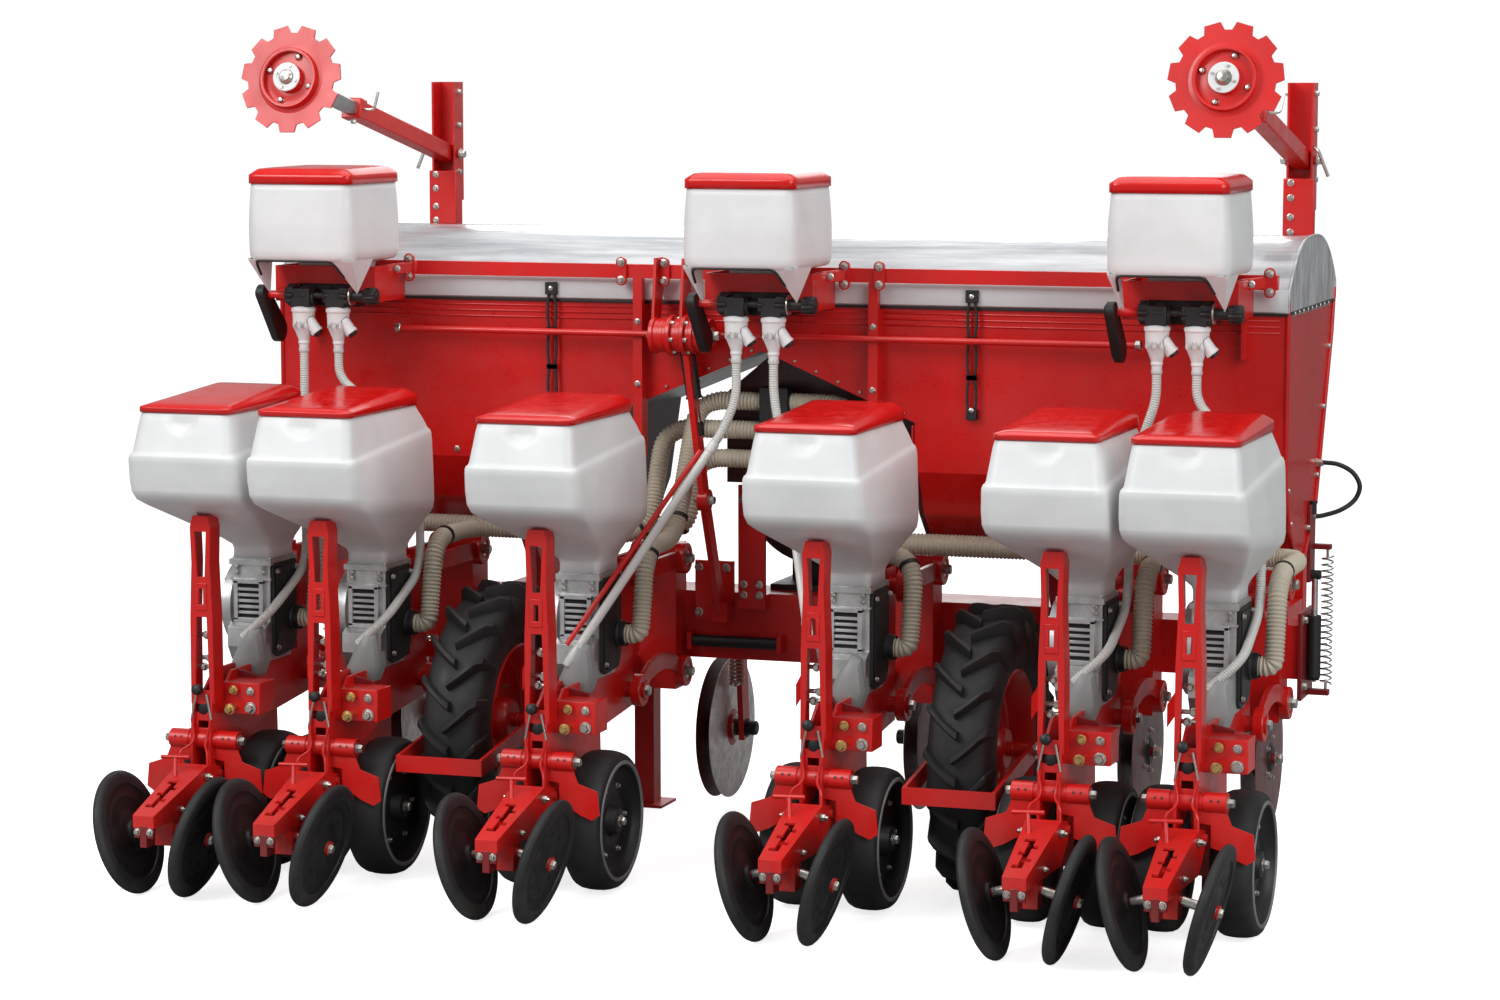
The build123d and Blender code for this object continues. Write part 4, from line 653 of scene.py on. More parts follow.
def lids():
    for k, row in enumerate(ROWS, 1):
        lid_piece(f"seed_lid_{k}_dressed", f"seed_lid_{k}", row, 131, -84, 362, 1256.3, 22, 46, 24, 3)
    for k, x in enumerate(GRANULE_X, 1):
        lid_piece(f"granule_lid_{k}_dressed", f"granule_lid_{k}", x, 150, 336, 664, 1845.3, 40, 42, 20, 5)


# Small parts made by every section below
def rod(b, start, end, radius, number=0, segments=18):
    """A round bar with softened ends between two machine points."""
    p, q = place(*start), place(*end)
    length = (q - p).length * 1000
    edge = min(1.5, radius * 0.3)
    b.lathe([(0, 0.01), (0, radius - edge), (edge, radius), (length - edge, radius), (length, radius - edge),
             (length, 0.01)], p, q - p, segments, number)


def flat_bar(b, start, end, width, height, number=0):
    """A bar of width across x and height across its run, between two machine points."""
    p, q = place(*start), place(*end)
    way = (q - p).normalized()
    side = Vector((1, 0, 0)) if abs(way.x) < 0.9 else Vector((0, 1, 0))
    up = way.cross(side).normalized() * height / 2000
    side = up.cross(way).normalized() * width / 2000
    ring = [p - side - up, p + side - up, p + side + up, p - side + up]
    b.plate(ring, q - p, number)


def lobed(b, centre, axis, radius, width, lobes, depth, number=0):
    """A hand wheel: a thick disc with round lobes."""
    axis = Vector(axis).normalized()
    side = axis.orthogonal().normalized()
    up = axis.cross(side)
    count = lobes * 8
    rings = []
    for along, share in ((0, 0.6), (0, 0.92), (0.15, 1.0), (0.85, 1.0), (1, 0.92), (1, 0.6)):
        ring = []
        for k in range(count):
            a = 2 * math.pi * k / count
            r = radius * share * (1 - depth + depth * math.cos(lobes * a)) / 1000
            ring.append(centre + axis * (along * width / 1000) + (side * math.cos(a) + up * math.sin(a)) * r)
        rings.append(ring)
    b.rings(rings, number, cap_start=True, cap_end=True)


def blocks(b, x, table):
    """Boxes of a table, shifted along x."""
    for x0, x1, y0, y1, z0, z1, number in table:
        b.box(x + x0, x + x1, y0, y1, z0, z1, number)


def bolts(b, x, table, way):
    """Bolts of a table, shifted along x and all standing one way."""
    for dx, y, z, across, number in table:
        b.bolt(place(x + dx, y, z), way, across, number)


def clamp_plate(b, x, y, z, half, tall, thick, number, bolt_number):
    """A rounded plate on the rail's rear face, with a bolt at each end."""
    ring = []
    for k in range(24):
        a = 2 * math.pi * (k + 0.5) / 24
        rise = tall if math.sin(a) > 0 else -tall
        ring.append(place(x + half * math.cos(a), y, z + rise + half * math.sin(a)))
    b.plate(ring, (0, -thick / 1000, 0), number)
    for sign in (-1, 1):
        b.bolt(place(x, y - thick, z + sign * tall), (0, -1, 0), 17, bolt_number)


def spaced(path, step):
    """The path again as points a fixed step apart."""
    out = [path[0].copy()]
    left = step
    for p, q in zip(path, path[1:]):
        length = (q - p).length
        at = left
        while at <= length:
            out.append(p.lerp(q, at / length))
            at += step
        left = at - length
    return out


def ribbed(b, path, radius, root, pitch, number=0, sides=12):
    """A corrugated hose along a path."""
    flank = (root + radius) / 2 + 0.6
    b.wire(spaced(path, pitch / 4000), [root, flank, radius, flank], sides, number)


# Row units
SIDE_CLIP = [(-15, -8, 497), (-29, -10, 430), (-18, -17, 382), (-20, -30, 366), (-40, -58, 350),
             (-42, -62, 312)]
CLIP_JOIN = 1            # the clip is plated down to this point and painted below it
PRESS_LEAN = math.radians(15.0)
SLEEVES = [(-100, -41, 25.5), (-38, 38, 24.2), (41, 100, 25.5)]   # from x, to x, radius
SLEEVE_AXIS = (14, 372)
SLEEVE_HOLES = (-78, -60, 12, 62, 80)
ARM_BOLTS = [(45, -72, 288, 19), (38, -206, 226, 13)]   # half width of the arm there, y, z, size across flats
LINK_PINS = [(y, z) for y in (585, 940) for z in (470, 790)]
LINK_PIN_X = 78.0
KNOB = [(-12, 0.01), (-12, 8), (-9, 13), (2, 15), (12, 13), (16, 7), (16, 0.01)]
STUB_AXLE = [(-72, 0.01), (-72, 10), (-70, 12), (-24, 12), (-22, 10)]
UNIT_BOLTS = [   # x from the row, y, z, size across flats, material
    (-18, -346, 189, 15, 1), (18, -346, 189, 15, 1), (-8, 30, 566, 17, 1), (8, 30, 590, 17, 1),
    (0, 30, 652, 17, 1), (67, 24, 455, 22, 3), (67, 48, 503, 19, 3), (112, 58, 455, 24, 1),
    (112, 58, 500, 17, 1),
]
UNIT_RODS = [   # start and end from the row, radius, material
    ((-70, -108, 342), (14, -108, 345), 5.5, 0), ((-28, -108, 342), (-16, -140, 262), 5.5, 0),
    ((-8, 4, 506), (-8, -6, 508), 6, 1), ((-29, 34, 566), (29, 34, 566), 6, 1),
    ((-29, 34, 590), (29, 34, 590), 6, 1), ((-29, 34, 652), (29, 34, 652), 6, 1),
    ((66, 64, 455), (68, 12, 455), 8, 3), ((67, 64, 503), (67, 40, 503), 7, 3),
]
UNIT_BLOCKS = [   # x, y and z spans from the row, material
    (-23, 23, 1, 7, 392, 405, 0), (-23, 23, 1, 7, 424, 448, 0), (-23, -15, 1, 7, 404, 425, 0),
    (15, 23, 1, 7, 404, 425, 0), (-17, 17, -3, 1, 722, 738, 0), (-17, 17, -3, 1, 780, 796, 0),
    (-17, -7, -3, 1, 737, 781, 0), (7, 17, -3, 1, 737, 781, 0), (-10, 10, -349, -300, 148, 204, 1),
    (-28, 28, -346, -338, 172, 206, 1), (28, 138, 60, 150, 437, 522, 0),
]
POINTER = [(-31, 30, 652), (-31, 30, 590), (-66, 62, 542), (-66, 62, 600)]
GUSSET = [(26, 150, 440), (88, 150, 470), (88, 150, 530), (26, 150, 544)]


def unit_details():
    """Sleeves, clips, handle, bolts, stub axles and small plates of every row unit."""
    for k, row in enumerate(ROWS, 1):
        b = Build()
        for x0, x1, r in SLEEVES:
            tube = [(x0, 20), (x0, r - 2), (x0 + 2, r), (x1 - 2, r), (x1, r - 2), (x1, 20)]
            b.lathe(tube, place(row, *SLEEVE_AXIS), (1, 0, 0), 32, 0)
        for x in SLEEVE_HOLES:
            rim = [(24, 3.4), (25.9, 3.4), (25.9, 0.01)]
            b.lathe(rim, place(row + x, *SLEEVE_AXIS), (0, -1, 0.35), 10, 2)
        for sign, word in ((-1, "left"), (1, "right")):
            b.bolt(place(row + sign * 100, *SLEEVE_AXIS), (sign, 0, 0), 24, 1)
            wire = [place(row - sign * x, y, z) for x, y, z in SIDE_CLIP]
            b.wire(wire[:CLIP_JOIN + 1], 3.2, 8, 1)
            b.wire(smooth_path(wire[CLIP_JOIN:], 0.012), 3.4, 8, 0)
            for half, y, z, across in ARM_BOLTS:
                b.bolt(place(row + sign * half, y, z), (sign, 0, 0), across, 1)
                rod(b, (row + sign * half, y, z), (row + sign * (half + across), y, z), across * 0.3, 1, 12)
            hub = Vector(joint_of(f"press_wheel_{k}_{word}")["pos_m"])
            way = Vector((sign * math.cos(PRESS_LEAN), 0, -math.sin(PRESS_LEAN)))
            b.lathe(STUB_AXLE, hub, way, 20, 1)
            for y, z in LINK_PINS:
                end = place(row + sign * LINK_PIN_X, y, z)
                b.bolt(end, (sign, 0, 0), 30, 1)
                b.lathe([(0, 43.5), (2.5, 42), (2.5, 30), (0.5, 28)], end, (sign, 0, 0), 28, 0)
        bolts(b, row, UNIT_BOLTS, (0, -1, 0))
        for (x0, y0, z0), (x1, y1, z1), radius, number in UNIT_RODS:
            rod(b, (row + x0, y0, z0), (row + x1, y1, z1), radius, number)
        b.lathe(KNOB, place(row - 8, -14, 510), (0, -1, 0.2), 18, 2)
        b.lathe([(-6, 17), (2, 17), (4, 14), (4, 0.01)], place(row, 4, 456), (0, -1, 0), 24, 2)
        b.piece(f"unit_{k}_fittings", "machine", "red_paint", RED, ZINC, BLACK, BRASS)
        plates = Build()
        blocks(plates, row, UNIT_BLOCKS)
        plates.plate([place(row + x, y, z) for x, y, z in POINTER], (0, 0.006, 0))
        plates.plate([place(row + x, y, z) for x, y, z in GUSSET], (0, 0.008, 0), 1)
        # pieces numbered 1, the gusset and two rear blocks, take the red in painted shade
        plates.piece(f"unit_{k}_plates", "machine", "red_paint", RED, PAINTED_SHADE_RED, bevel=0.0015)


CHUTE = [   # x, z of the chute's outline seen from behind
    (-38, 545), (-26, 508), (6, 492), (46, 512), (62, 556), (50, 640), (22, 652), (-10, 606),
]
CHUTE_LENGTH = [(292, 1.0), (250, 1.0), (237, 0.8), (229, 0.4)]   # y, share of the outline
METER_BLOCKS = [   # x, y and z spans from the row, material
    (-63, 63, 293, 459, 806, 822, 0), (-61, 61, 295, 457, 764, 770, 0), (-48, -36, 288, 301, 655, 764, 0),
    (28, 40, 288, 301, 655, 764, 0), (-48, 40, 288, 301, 650, 662, 0), (-48, 40, 288, 301, 756, 768, 0),
    # the last block is painted shadow behind the window's bars
    (-36, 28, 299.4, 301, 660, 758, 2),
] + [(-37, 29, 292, 300, z, z + 8, 0) for z in range(672, 737, 16)]
SIDE_COVER = [(306, 566), (330, 552), (430, 560), (448, 600), (449, 800), (440, 812), (316, 812),
              (306, 800)]
SIDE_BOLTS = [(70, 318, 580, 12, 0), (70, 436, 620, 12, 0), (70, 318, 790, 12, 0), (70, 436, 790, 12, 0)]
FLANGE_BOLTS = [(x, y, 822, 10, 0) for x in (-52, 52) for y in (306, 446)]
NECK_BOLTS = [(x, 293, z, 10, 0) for z in (784, 800) for x in (-40, 40)]
CASE_AXIS = (400, 690)
CASE_X = -83.0


def meter_details():
    """Flanges, window, side cover, hose port and angular chute of every seed meter."""
    mid_x = sum(x for x, z in CHUTE) / len(CHUTE)
    mid_z = sum(z for x, z in CHUTE) / len(CHUTE)
    inner = [(y + (12 if y < 380 else -12), z + (12 if z < 680 else -12)) for y, z in SIDE_COVER]
    for k, row in enumerate(ROWS, 1):
        flanges = Build()
        blocks(flanges, row, METER_BLOCKS)
        flanges.plate([place(row + 57, y, z) for y, z in SIDE_COVER], (0.009, 0, 0), 1)
        flanges.plate([place(row + 66, y, z) for y, z in inner], (0.004, 0, 0), 1)
        flanges.piece(f"seed_meter_{k}_flanges", "machine", "aluminium", CAST, BLACK, SHADOW, bevel=0.0016)
        chute = Build()
        rings = []
        for y, share in CHUTE_LENGTH:
            rings.append([place(row + mid_x + (x - mid_x) * share, y, mid_z + (z - mid_z) * share)
                          for x, z in CHUTE])
        chute.rings(rings, 0, cap_start=True, cap_end=True)
        chute.piece(f"seed_meter_{k}_chute", "machine", "black_plastic", CHUTE_GREY, bevel=0.0015)
        b = Build()
        b.lathe([(0, 38), (8, 38), (12, 34), (26, 33), (28, 30)], place(row + 66, 420, 650), (1, 0, 0), 28, 1)
        bolts(b, row, FLANGE_BOLTS, (0, 0, 1))
        bolts(b, row, SIDE_BOLTS, (1, 0, 0))
        bolts(b, row, NECK_BOLTS, (0, -1, 0))
        case = place(row + CASE_X, *CASE_AXIS)
        for arm in spokes(6, 0.3):
            b.bolt(case + arm * 0.104, (-1, 0, 0), 12, 0)
        b.lathe([(0, 96), (3, 92), (3, 60), (7, 54), (7, 0.01)], case, (-1, 0, 0), 48, 2)
        b.piece(f"seed_meter_{k}_fittings", "machine", "aluminium", ZINC, BLACK, CAST)


# Granule hoppers
GRANULE_LOOPS = [   # half width, rear y, rear z, front y, front z, corner radius
    (84, 522, 1570, 638, 1570, 12), (92, 514, 1624, 646, 1624, 14), (146, 342, 1635, 662, 1635, 34),
    (154, 334, 1640, 667, 1640, 40), (158.5, 329.5, 1650, 671, 1650, 43), (160, 328, 1664, 672, 1664, 44),
    (160.3, 327.7, 1700, 672.2, 1700, 43), (160, 328, 1732, 672, 1732, 41), (156.5, 331, 1780, 669, 1780, 35),
    (152, 334.5, 1828, 665.5, 1828, 29), (150, 336, 1845, 664, 1845, 26),
]
STAR_WHEELS = [(-98, 26, 31), (-56, 22, 26), (14, 22, 26), (62, 30, 31)]   # dx, width, radius
DRIVE_AXIS = (470, 1537.5)


EARS = [(1, 96), (-1, 132)]   # side, inner edge of the pointed ear under the hopper
DRIVE_BODY = [(-34, 0.01), (-34, 20), (-30, 24), (30, 24), (34, 20), (34, 0.01)]
OUTLETS = (-52, 52)
BRACKET = [((82, 552, 1592), (150, 640, 1604)), ((146, 638, 1603), (198, 682, 1609))]


def granule_pieces():
    """Moulded hoppers with pointed ears, star wheels, cups, chain cover and bracket."""
    y, z = DRIVE_AXIS
    for k, x in enumerate(GRANULE_X, 1):
        b = Build()
        b.rings([[place(x + px, py, pz) for px, py, pz in rounded_ring(*loop)]
                 for loop in refined(GRANULE_LOOPS, 5)])
        tank = b.piece(f"granule_hopper_{k}_dressed", "machine", "white_tank", WHITE,
                       replaces=["granule_hoppers"])
        walled(tank, 0.004)
        ears = Build()
        for sign, inner in EARS:
            rear = [(inner, 336, 1640), (154, 336, 1640), (132, 420, 1546)]
            flank = [(155, 338, 1644), (155, 486, 1644), (132, 424, 1546)]
            ears.plate([place(x + sign * px, py, pz) for px, py, pz in rear], (0, 0.004, 0))
            ears.plate([place(x + sign * px, py, pz) for px, py, pz in flank], (-sign * 0.004, 0, 0))
        hinge(ears, x, GRANULE_LOOPS[-1][3] + HINGE_OUT, 1833, 664)
        ears.piece(f"granule_hopper_{k}_ears", "machine", "white_tank", WHITE, ZINC, bevel=0.001)
        wheels = Build()
        rod(wheels, (x - 170, y, z), (x + 170, y, z), 9, 0)
        for dx, width, radius in STAR_WHEELS:
            lobed(wheels, place(x + dx, y, z), (1, 0, 0), radius, width, 8, 0.10, 0)
        for dx in OUTLETS:
            wheels.lathe(DRIVE_BODY, place(x + dx, y + 6, z - 6), (1, 0, 0), 24, 0)
        wheels.lathe([(93, 0.01), (93, 27), (97, 27), (97, 14)], place(x, y, z), (1, 0, 0), 28, 1)
        wheels.lathe([(97, 15), (132, 15), (134, 18)], place(x, y, z), (1, 0, 0), 24, 0)
        lobed(wheels, place(x + 134, y, z), (1, 0, 0), 24, 34, 12, 0.05, 0)
        # a black strip along the notch's edge: painted shadow of the gap between the hopper and the plate
        # behind it
        shadow_strip = [(-132, 374, 1597), (-130, 336, 1637), (96, 336, 1637), (114, 378, 1593)]
        wheels.wire(smooth_path([place(x + px, py, pz) for px, py, pz in shadow_strip], 0.02), 3.6, 8, 0)
        rod(wheels, (x - 156, y, z), (x - 60, y, z), 11, 2)
        wheels.piece(f"granule_drive_{k}_wheels", "machine", "black_plastic", BLACK, ZINC, RED,
                     replaces=["granule_drives"])
        housing = Build()
        housing.box(x - 84, x + 84, 510, 638, 1505, 1570)
        for dx in OUTLETS:
            housing.box(x + dx - 28, x + dx + 28, 446, 511, 1505, 1556)
        boot(housing, x - 180, x - 156, (456, 1541), 24, (552, 1434), 33)
        boot(housing, x - 186, x - 180, (456, 1541), 15, (552, 1434), 23)
        housing.piece(f"granule_drive_{k}_housing", "machine", "black_plastic", BLACK, bevel=0.004)
        bracket = Build()
        for (x0, y0, z0), (x1, y1, z1) in BRACKET:
            flat_bar(bracket, (x + x0, y0, z0), (x + x1, y1, z1), 8, 32)
        bracket.piece(f"granule_bracket_{k}", "machine", "red_paint", RED, bevel=0.003)
        cups = Build()
        bolts(cups, x, [(106, 562, 1596, 15, 0), (156, 634, 1605, 15, 0)], (0.25, -1, 0))
        for dx in OUTLETS:
            cup(cups, x + dx)
        cups.piece(f"granule_cups_{k}_dressed", "machine", "white_tank", ZINC, WHITE, BLACK, CLEAR,
                   replaces=["granule_cups"])


def boot(b, x0, x1, top, top_r, foot, foot_r):
    """A chain cover: two round ends of different size joined by straight sides."""
    (y0, z0), (y1, z1) = top, foot
    lean = math.atan2(z0 - z1, y0 - y1)
    ring = []
    for (y, z), radius, start in ((top, top_r, lean - math.pi / 2), (foot, foot_r, lean + math.pi / 2)):
        for i in range(13):
            a = start + math.pi * i / 12
            ring.append(place(x0, y + radius * math.cos(a), z + radius * math.sin(a)))
    b.plate(ring, ((x1 - x0) / 1000, 0, 0))


CUP = [(2, 0.01), (2, 24), (0, 29), (-4, 33.5), (-12, 34), (-14, 31.5), (-16, 31), (-48, 29.5), (-52, 30.5),
       (-56, 30), (-62, 26), (-84, 17), (-92, 14.5), (-94, 15.5), (-100, 15.5), (-102, 13.5), (-120, 12.6)]
CUP_CLIP = [(-5, 437, 1466), (-2, 436, 1448), (1, 436.5, 1460), (4, 436, 1448), (7, 437, 1466)]


def cup(b, x):
    """An outlet cup with a capped round top, clips, side spout with a black plug, and a tapering spigot."""
    base = place(x, 470, 1505)
    b.lathe(CUP, base, (0, 0, 1), 32, 1)
    spout = place(x + 14, 466, 1470)
    way = Vector((0.62, 0.1, -0.78))
    b.lathe([(0, 19), (34, 16.5), (38, 18), (44, 18), (44, 10)], spout, way, 24, 1)
    b.lathe([(40, 12.5), (50, 12.5), (52, 10), (52, 0.01)], spout, way, 20, 2)
    for dx in (-12, 10):
        b.wire([place(x + dx + px, y, z) for px, y, z in CUP_CLIP], 1.3, 6, 0)
    b.lathe([(-112, 13.4), (-114, 14.6), (-122, 14.6), (-124, 13.2)], base, (0, 0, 1), 20, 3)


# Rail and drive leg
CLAMP_X = [-1018, -389, -265, 247, 344, 1392]
LEG_AXIS = (640, 1438)   # y, z of the drive leg's upper shaft
LEG_DISCS = [(-286, 50), (-258, 47), (-236, 56), (-196, 56), (-172, 50), (-150, 49)]   # x, radius
LEG_BOLTS = [(688, 1628), (688, 1590), (640, 1470)]
SHAFT_TOP = (-196, 664, 1392)
SHAFT_END = (-180, 672, 1268)


def rail_details():
    """Clamps of the rail, and the discs, bolts and sliding shaft of the drive leg."""
    b = Build()
    for x in CLAMP_X:
        clamp_plate(b, x, 676, 1607, 15, 24, 9, 0, 1)
    for x, r in LEG_DISCS:
        rim = [(0, 30), (0, r - 2), (2, r), (12, r), (14, r - 2), (14, 30)]
        b.lathe(rim, place(x, *LEG_AXIS), (1, 0, 0), 40, 0)
    for x in (-222, -182):
        for arm in spokes(6, 0.2):
            b.bolt(place(x, *LEG_AXIS) + arm * 0.046, (1, 0, 0), 12, 1)
    b.lathe([(0, 24), (5, 24), (5, 0.01)], place(-117, *LEG_AXIS), (1, 0, 0), 32, 1)
    b.bolt(place(-112, *LEG_AXIS), (1, 0, 0), 26, 1)
    b.bolt(place(-286, *LEG_AXIS), (-1, 0, 0), 26, 1)
    for x in (-286, -206):
        for y, z in LEG_BOLTS:
            b.bolt(place(x, y, z), (-1, 0, 0), 15, 1)
            b.bolt(place(x + 8, y, z), (1, 0, 0), 15, 1)
    rod(b, SHAFT_TOP, SHAFT_END, 21, 2, 24)
    rod(b, SHAFT_END, (-170, 678, 1186), 9, 1)
    rod(b, (-171, 677, 1200), (-168, 679, 1164), 15, 2)
    top, end = place(*SHAFT_TOP), place(*SHAFT_END)
    for i in range(4):
        b.lathe([(-3, 21), (-2, 23), (2, 23), (3, 21)], top.lerp(end, i / 3), end - top, 24, 2)
    b.bolt(place(-146, 700, 985), (1, 0, 0), 24, 1)
    b.bolt(place(-174, 700, 985), (-1, 0, 0), 24, 1)
    for x in (-1050, 1050):
        b.lathe([(-8, 12), (-6, 14), (6, 14), (8, 12)], place(x, 668, 1438), (1, 0, 0), 18, 1)
    bolts(b, 0, [(x, 676, z, 13, 1) for x in (-345, 325) for z in (1130, 1300, 1470)], (0, -1, 0))
    b.piece("rail_fittings", "machine", "red_paint", RED, ZINC, BLACK)
    end = Build()
    end.box(1318, 1412, 675.6, 700.4, 1587.6, 1626.4)
    end.piece("rail_end", "machine", "red_paint", RED, bevel=0.002)


# Fertilizer tank and its cover
STRAP_X = [-606, 592]
STRAP_STUDS = [(694, -1, 1555), (1423, 1, 1555), (698, -1, 1252), (1419, 1, 1448)]   # y, way out, z
TANK_EDGE = [(720, 1558), (720, 1080), (780, 960), (890, 862), (1010, 862), (1167, 993), (1372, 1441),
             (1400, 1558)]
END_BOLTS = [(800 + 62 * i, 1520) for i in range(9)] + [(760, 1060), (800, 968), (1060, 930), (1180, 1060),
                                                        (1260, 1240), (1330, 1400)]
SWAGES = [(x0, x1, z) for z in (1506, 1490, 1474) for x0, x1 in ((-1412, -360), (-330, 310), (340, 1412))]
GAP_TOP = 1395.0         # ridge and foot of the slanted edges of the gap between the bins
GAP_FOOT = 1212.0
GAP_BOLTS = 7


def strap(b, x, y, out, top, bottom, wall_y):
    """A rubber latch strap: a hook block, two rails and cross bars."""
    b.box(x - 17, x + 17, y, y + out * 12, top - 34, top)
    b.box(x - 14, x + 14, wall_y, y + out * 9, bottom - 12, bottom + 16)
    rails = 9
    run = top - 30 - bottom
    for sign in (-1, 1):
        for i in range(rails):
            z0 = top - 30 - run * i / rails
            z1 = top - 30 - run * (i + 1) / rails
            bow0 = 8 + 5 * math.sin(math.pi * (i % 3) / 3)
            bow1 = 8 + 5 * math.sin(math.pi * ((i % 3) + 1) / 3)
            corners = [(bow0 * sign - 3.5, z0), (bow0 * sign + 3.5, z0), (bow1 * sign + 3.5, z1),
                       (bow1 * sign - 3.5, z1)]
            b.plate([place(x + dx, y, z) for dx, z in corners], (0, out * 0.007, 0))
            if i % 3 == 2:
                b.box(x - 15, x + 15, y, y + out * 8, z1 - 7, z1 + 7)


def tank_details():
    """Swages, edges and bolts of the tank, with the straps and beading of its cover."""
    b = Build()
    for x0, x1, z in SWAGES:
        bar = [(0, 0.01), (4, 3.2), (x1 - x0 - 4, 3.2), (x1 - x0, 0.01)]
        b.lathe(bar, place(x0, 719.6, z), (1, 0, 0), 10, 0)
    for sign in (-1, 1):
        b.wire([place(sign * 1432, y, z) for y, z in TANK_EDGE], 6.5, 10, 0)
        for y, z in END_BOLTS:
            b.bolt(place(sign * 1430, y, z), (sign, 0, 0), 13, 1)
        for i in range(GAP_BOLTS):
            t = (i + 0.5) / GAP_BOLTS
            spot = place(sign * 430 * t, 720, GAP_TOP - (GAP_TOP - GAP_FOOT) * t + 14)
            b.bolt(spot, (0, -1, 0), 9, 1, washer=False)
        rod(b, (sign * 424, 719, 1205), (sign * 424, 719, 1085), 3, 0, 8)
    bolts(b, 0, [(x, 720, 1100, 13, 1) for x in (-1380, -900, 900, 1380)], (0, -1, 0))
    b.piece("tank_fittings", "machine", "red_paint", TANK_RED, ZINC)
    straps = Build()
    for x in STRAP_X:
        strap(straps, x, 706, -1, 1572, 1238, 722)
        strap(straps, x, 1411, 1, 1572, 1446, 1364)
    straps.box(-1434, 1434, 712, 720, 1518, 1527)
    straps.box(-1434, 1434, 1400, 1408, 1518, 1527)
    for sign in (-1, 1):
        straps.box(sign * 1430, sign * 1436, 716, 1404, 1519, 1527)
    straps.piece("tank_straps", "machine", "black_plastic", BLACK, bevel=0.0012)
    studs = Build()
    for x in STRAP_X:
        for y, way, z in STRAP_STUDS:
            studs.lathe([(-2, 7), (2, 7), (4, 4), (4, 0.01)], place(x, y, z), (0, way, 0), 16, 0)
    studs.piece("strap_studs", "machine", "steel", ZINC)


COVER_HALF = 1434.0
COVER_Y = (715.0, 1405.0)
COVER_RISE = 152.0
COVER_HEM = 1528.0
COVER_RIM = 1562.0
COVER_ACROSS = 44
COVER_ALONG = 180
HEM_ROLL = [(0.0, 0.0), (-6.0, 5.0), (-8.5, 20.0), (-7.5, 44.0), (-3.0, 56.0), (1.0, 60.0)]   # out, up
HEM_STEPS = 60


def cover_height(u):
    return COVER_RIM + COVER_RISE * (0.1 + 0.9 * (1 - abs(2 * u - 1) ** 2.7))


def cover_profile():
    """y, z points of the film from the rear hem over the arch to the front hem."""
    rear, front = COVER_Y
    points = [(rear, COVER_HEM + (cover_height(0.0) - COVER_HEM) * i / 5) for i in range(5)]
    for i in range(COVER_ACROSS + 1):
        u = 0.5 - 0.5 * math.cos(math.pi * i / COVER_ACROSS)
        points.append((rear + (front - rear) * u, cover_height(u)))
    return points + [(front, COVER_HEM + (cover_height(0.0) - COVER_HEM) * i / 5) for i in range(4, -1, -1)]


def cover_film():
    """Wrinkled clear film stretched over the tank, with rolled hems and flat ends."""
    profile = cover_profile()
    b = Build()
    rings = []
    for k in range(COVER_ALONG + 1):
        x = -COVER_HALF + 2 * COVER_HALF * k / COVER_ALONG
        ring = []
        for i, (y, z) in enumerate(profile):
            span = min(i, len(profile) - 1 - i) / 8
            slack = min(1.0, span) * min(1.0, (COVER_HALF - abs(x)) / 60)
            fold = noise.noise(Vector((x / 310, y / 42, z / 90)))
            crease = 1 - abs(noise.noise(Vector((x / 150 + y / 95, y / 60, 3.1)))) * 2
            ring.append(place(x, y, z + slack * (3.0 * fold + 2.6 * max(0.0, crease - 0.55) - 3.5)))
        rings.append(ring)
    b.rings(rings, closed=False)
    film = b.piece("cover_film", "machine", "cover_sheet", SHEET, replaces=["tank_cover"])
    walls = Build()
    for sign in (-1, 1):
        ring = [place(sign * COVER_HALF, y, z) for y, z in profile]
        inset = [place(sign * (COVER_HALF - 1.5), y, z) for y, z in profile]
        walls.add(ring, [tuple(range(len(ring)))[::sign]], 0)
        walls.add(inset, [tuple(range(len(ring)))[::-sign]], 0)
        walls.wire(ring, 3.5, 8, 0)
    ends = walls.piece("cover_ends", "machine", "cover_sheet", SHEET)
    rolls = Build()
    for (y, way) in ((COVER_Y[0], 1), (COVER_Y[1], -1)):
        rings = []
        for k in range(HEM_STEPS + 1):
            x = -COVER_HALF + 2 * COVER_HALF * k / HEM_STEPS
            swell = 1 + 0.12 * noise.noise(Vector((x / 120, y, 0.0)))
            rings.append([place(x, y + way * out * swell, COVER_HEM - 2 + up) for out, up in HEM_ROLL])
        rolls.rings(rings if way > 0 else rings[::-1], closed=False)
    hems = rolls.piece("cover_hems", "machine", "cover_sheet", HEM)
    walled(hems, 0.002)


# Air hoses and seed tubes
CUPS = [-1247, -1143, 10, 114, 1143, 1247]
HOSE_RUNS = [   # z at the manifold, x of the turn, y of the run, from the middle rows outwards
    (1246, 230, 650), (1166, 330, 725), (1086, 240, 790),
]
HOSE_ORDER = [2, 1, 0, 0, 1, 2]
HOSE_BEND = 0.085
HOSE_CLIPS = (0.3, 0.62)


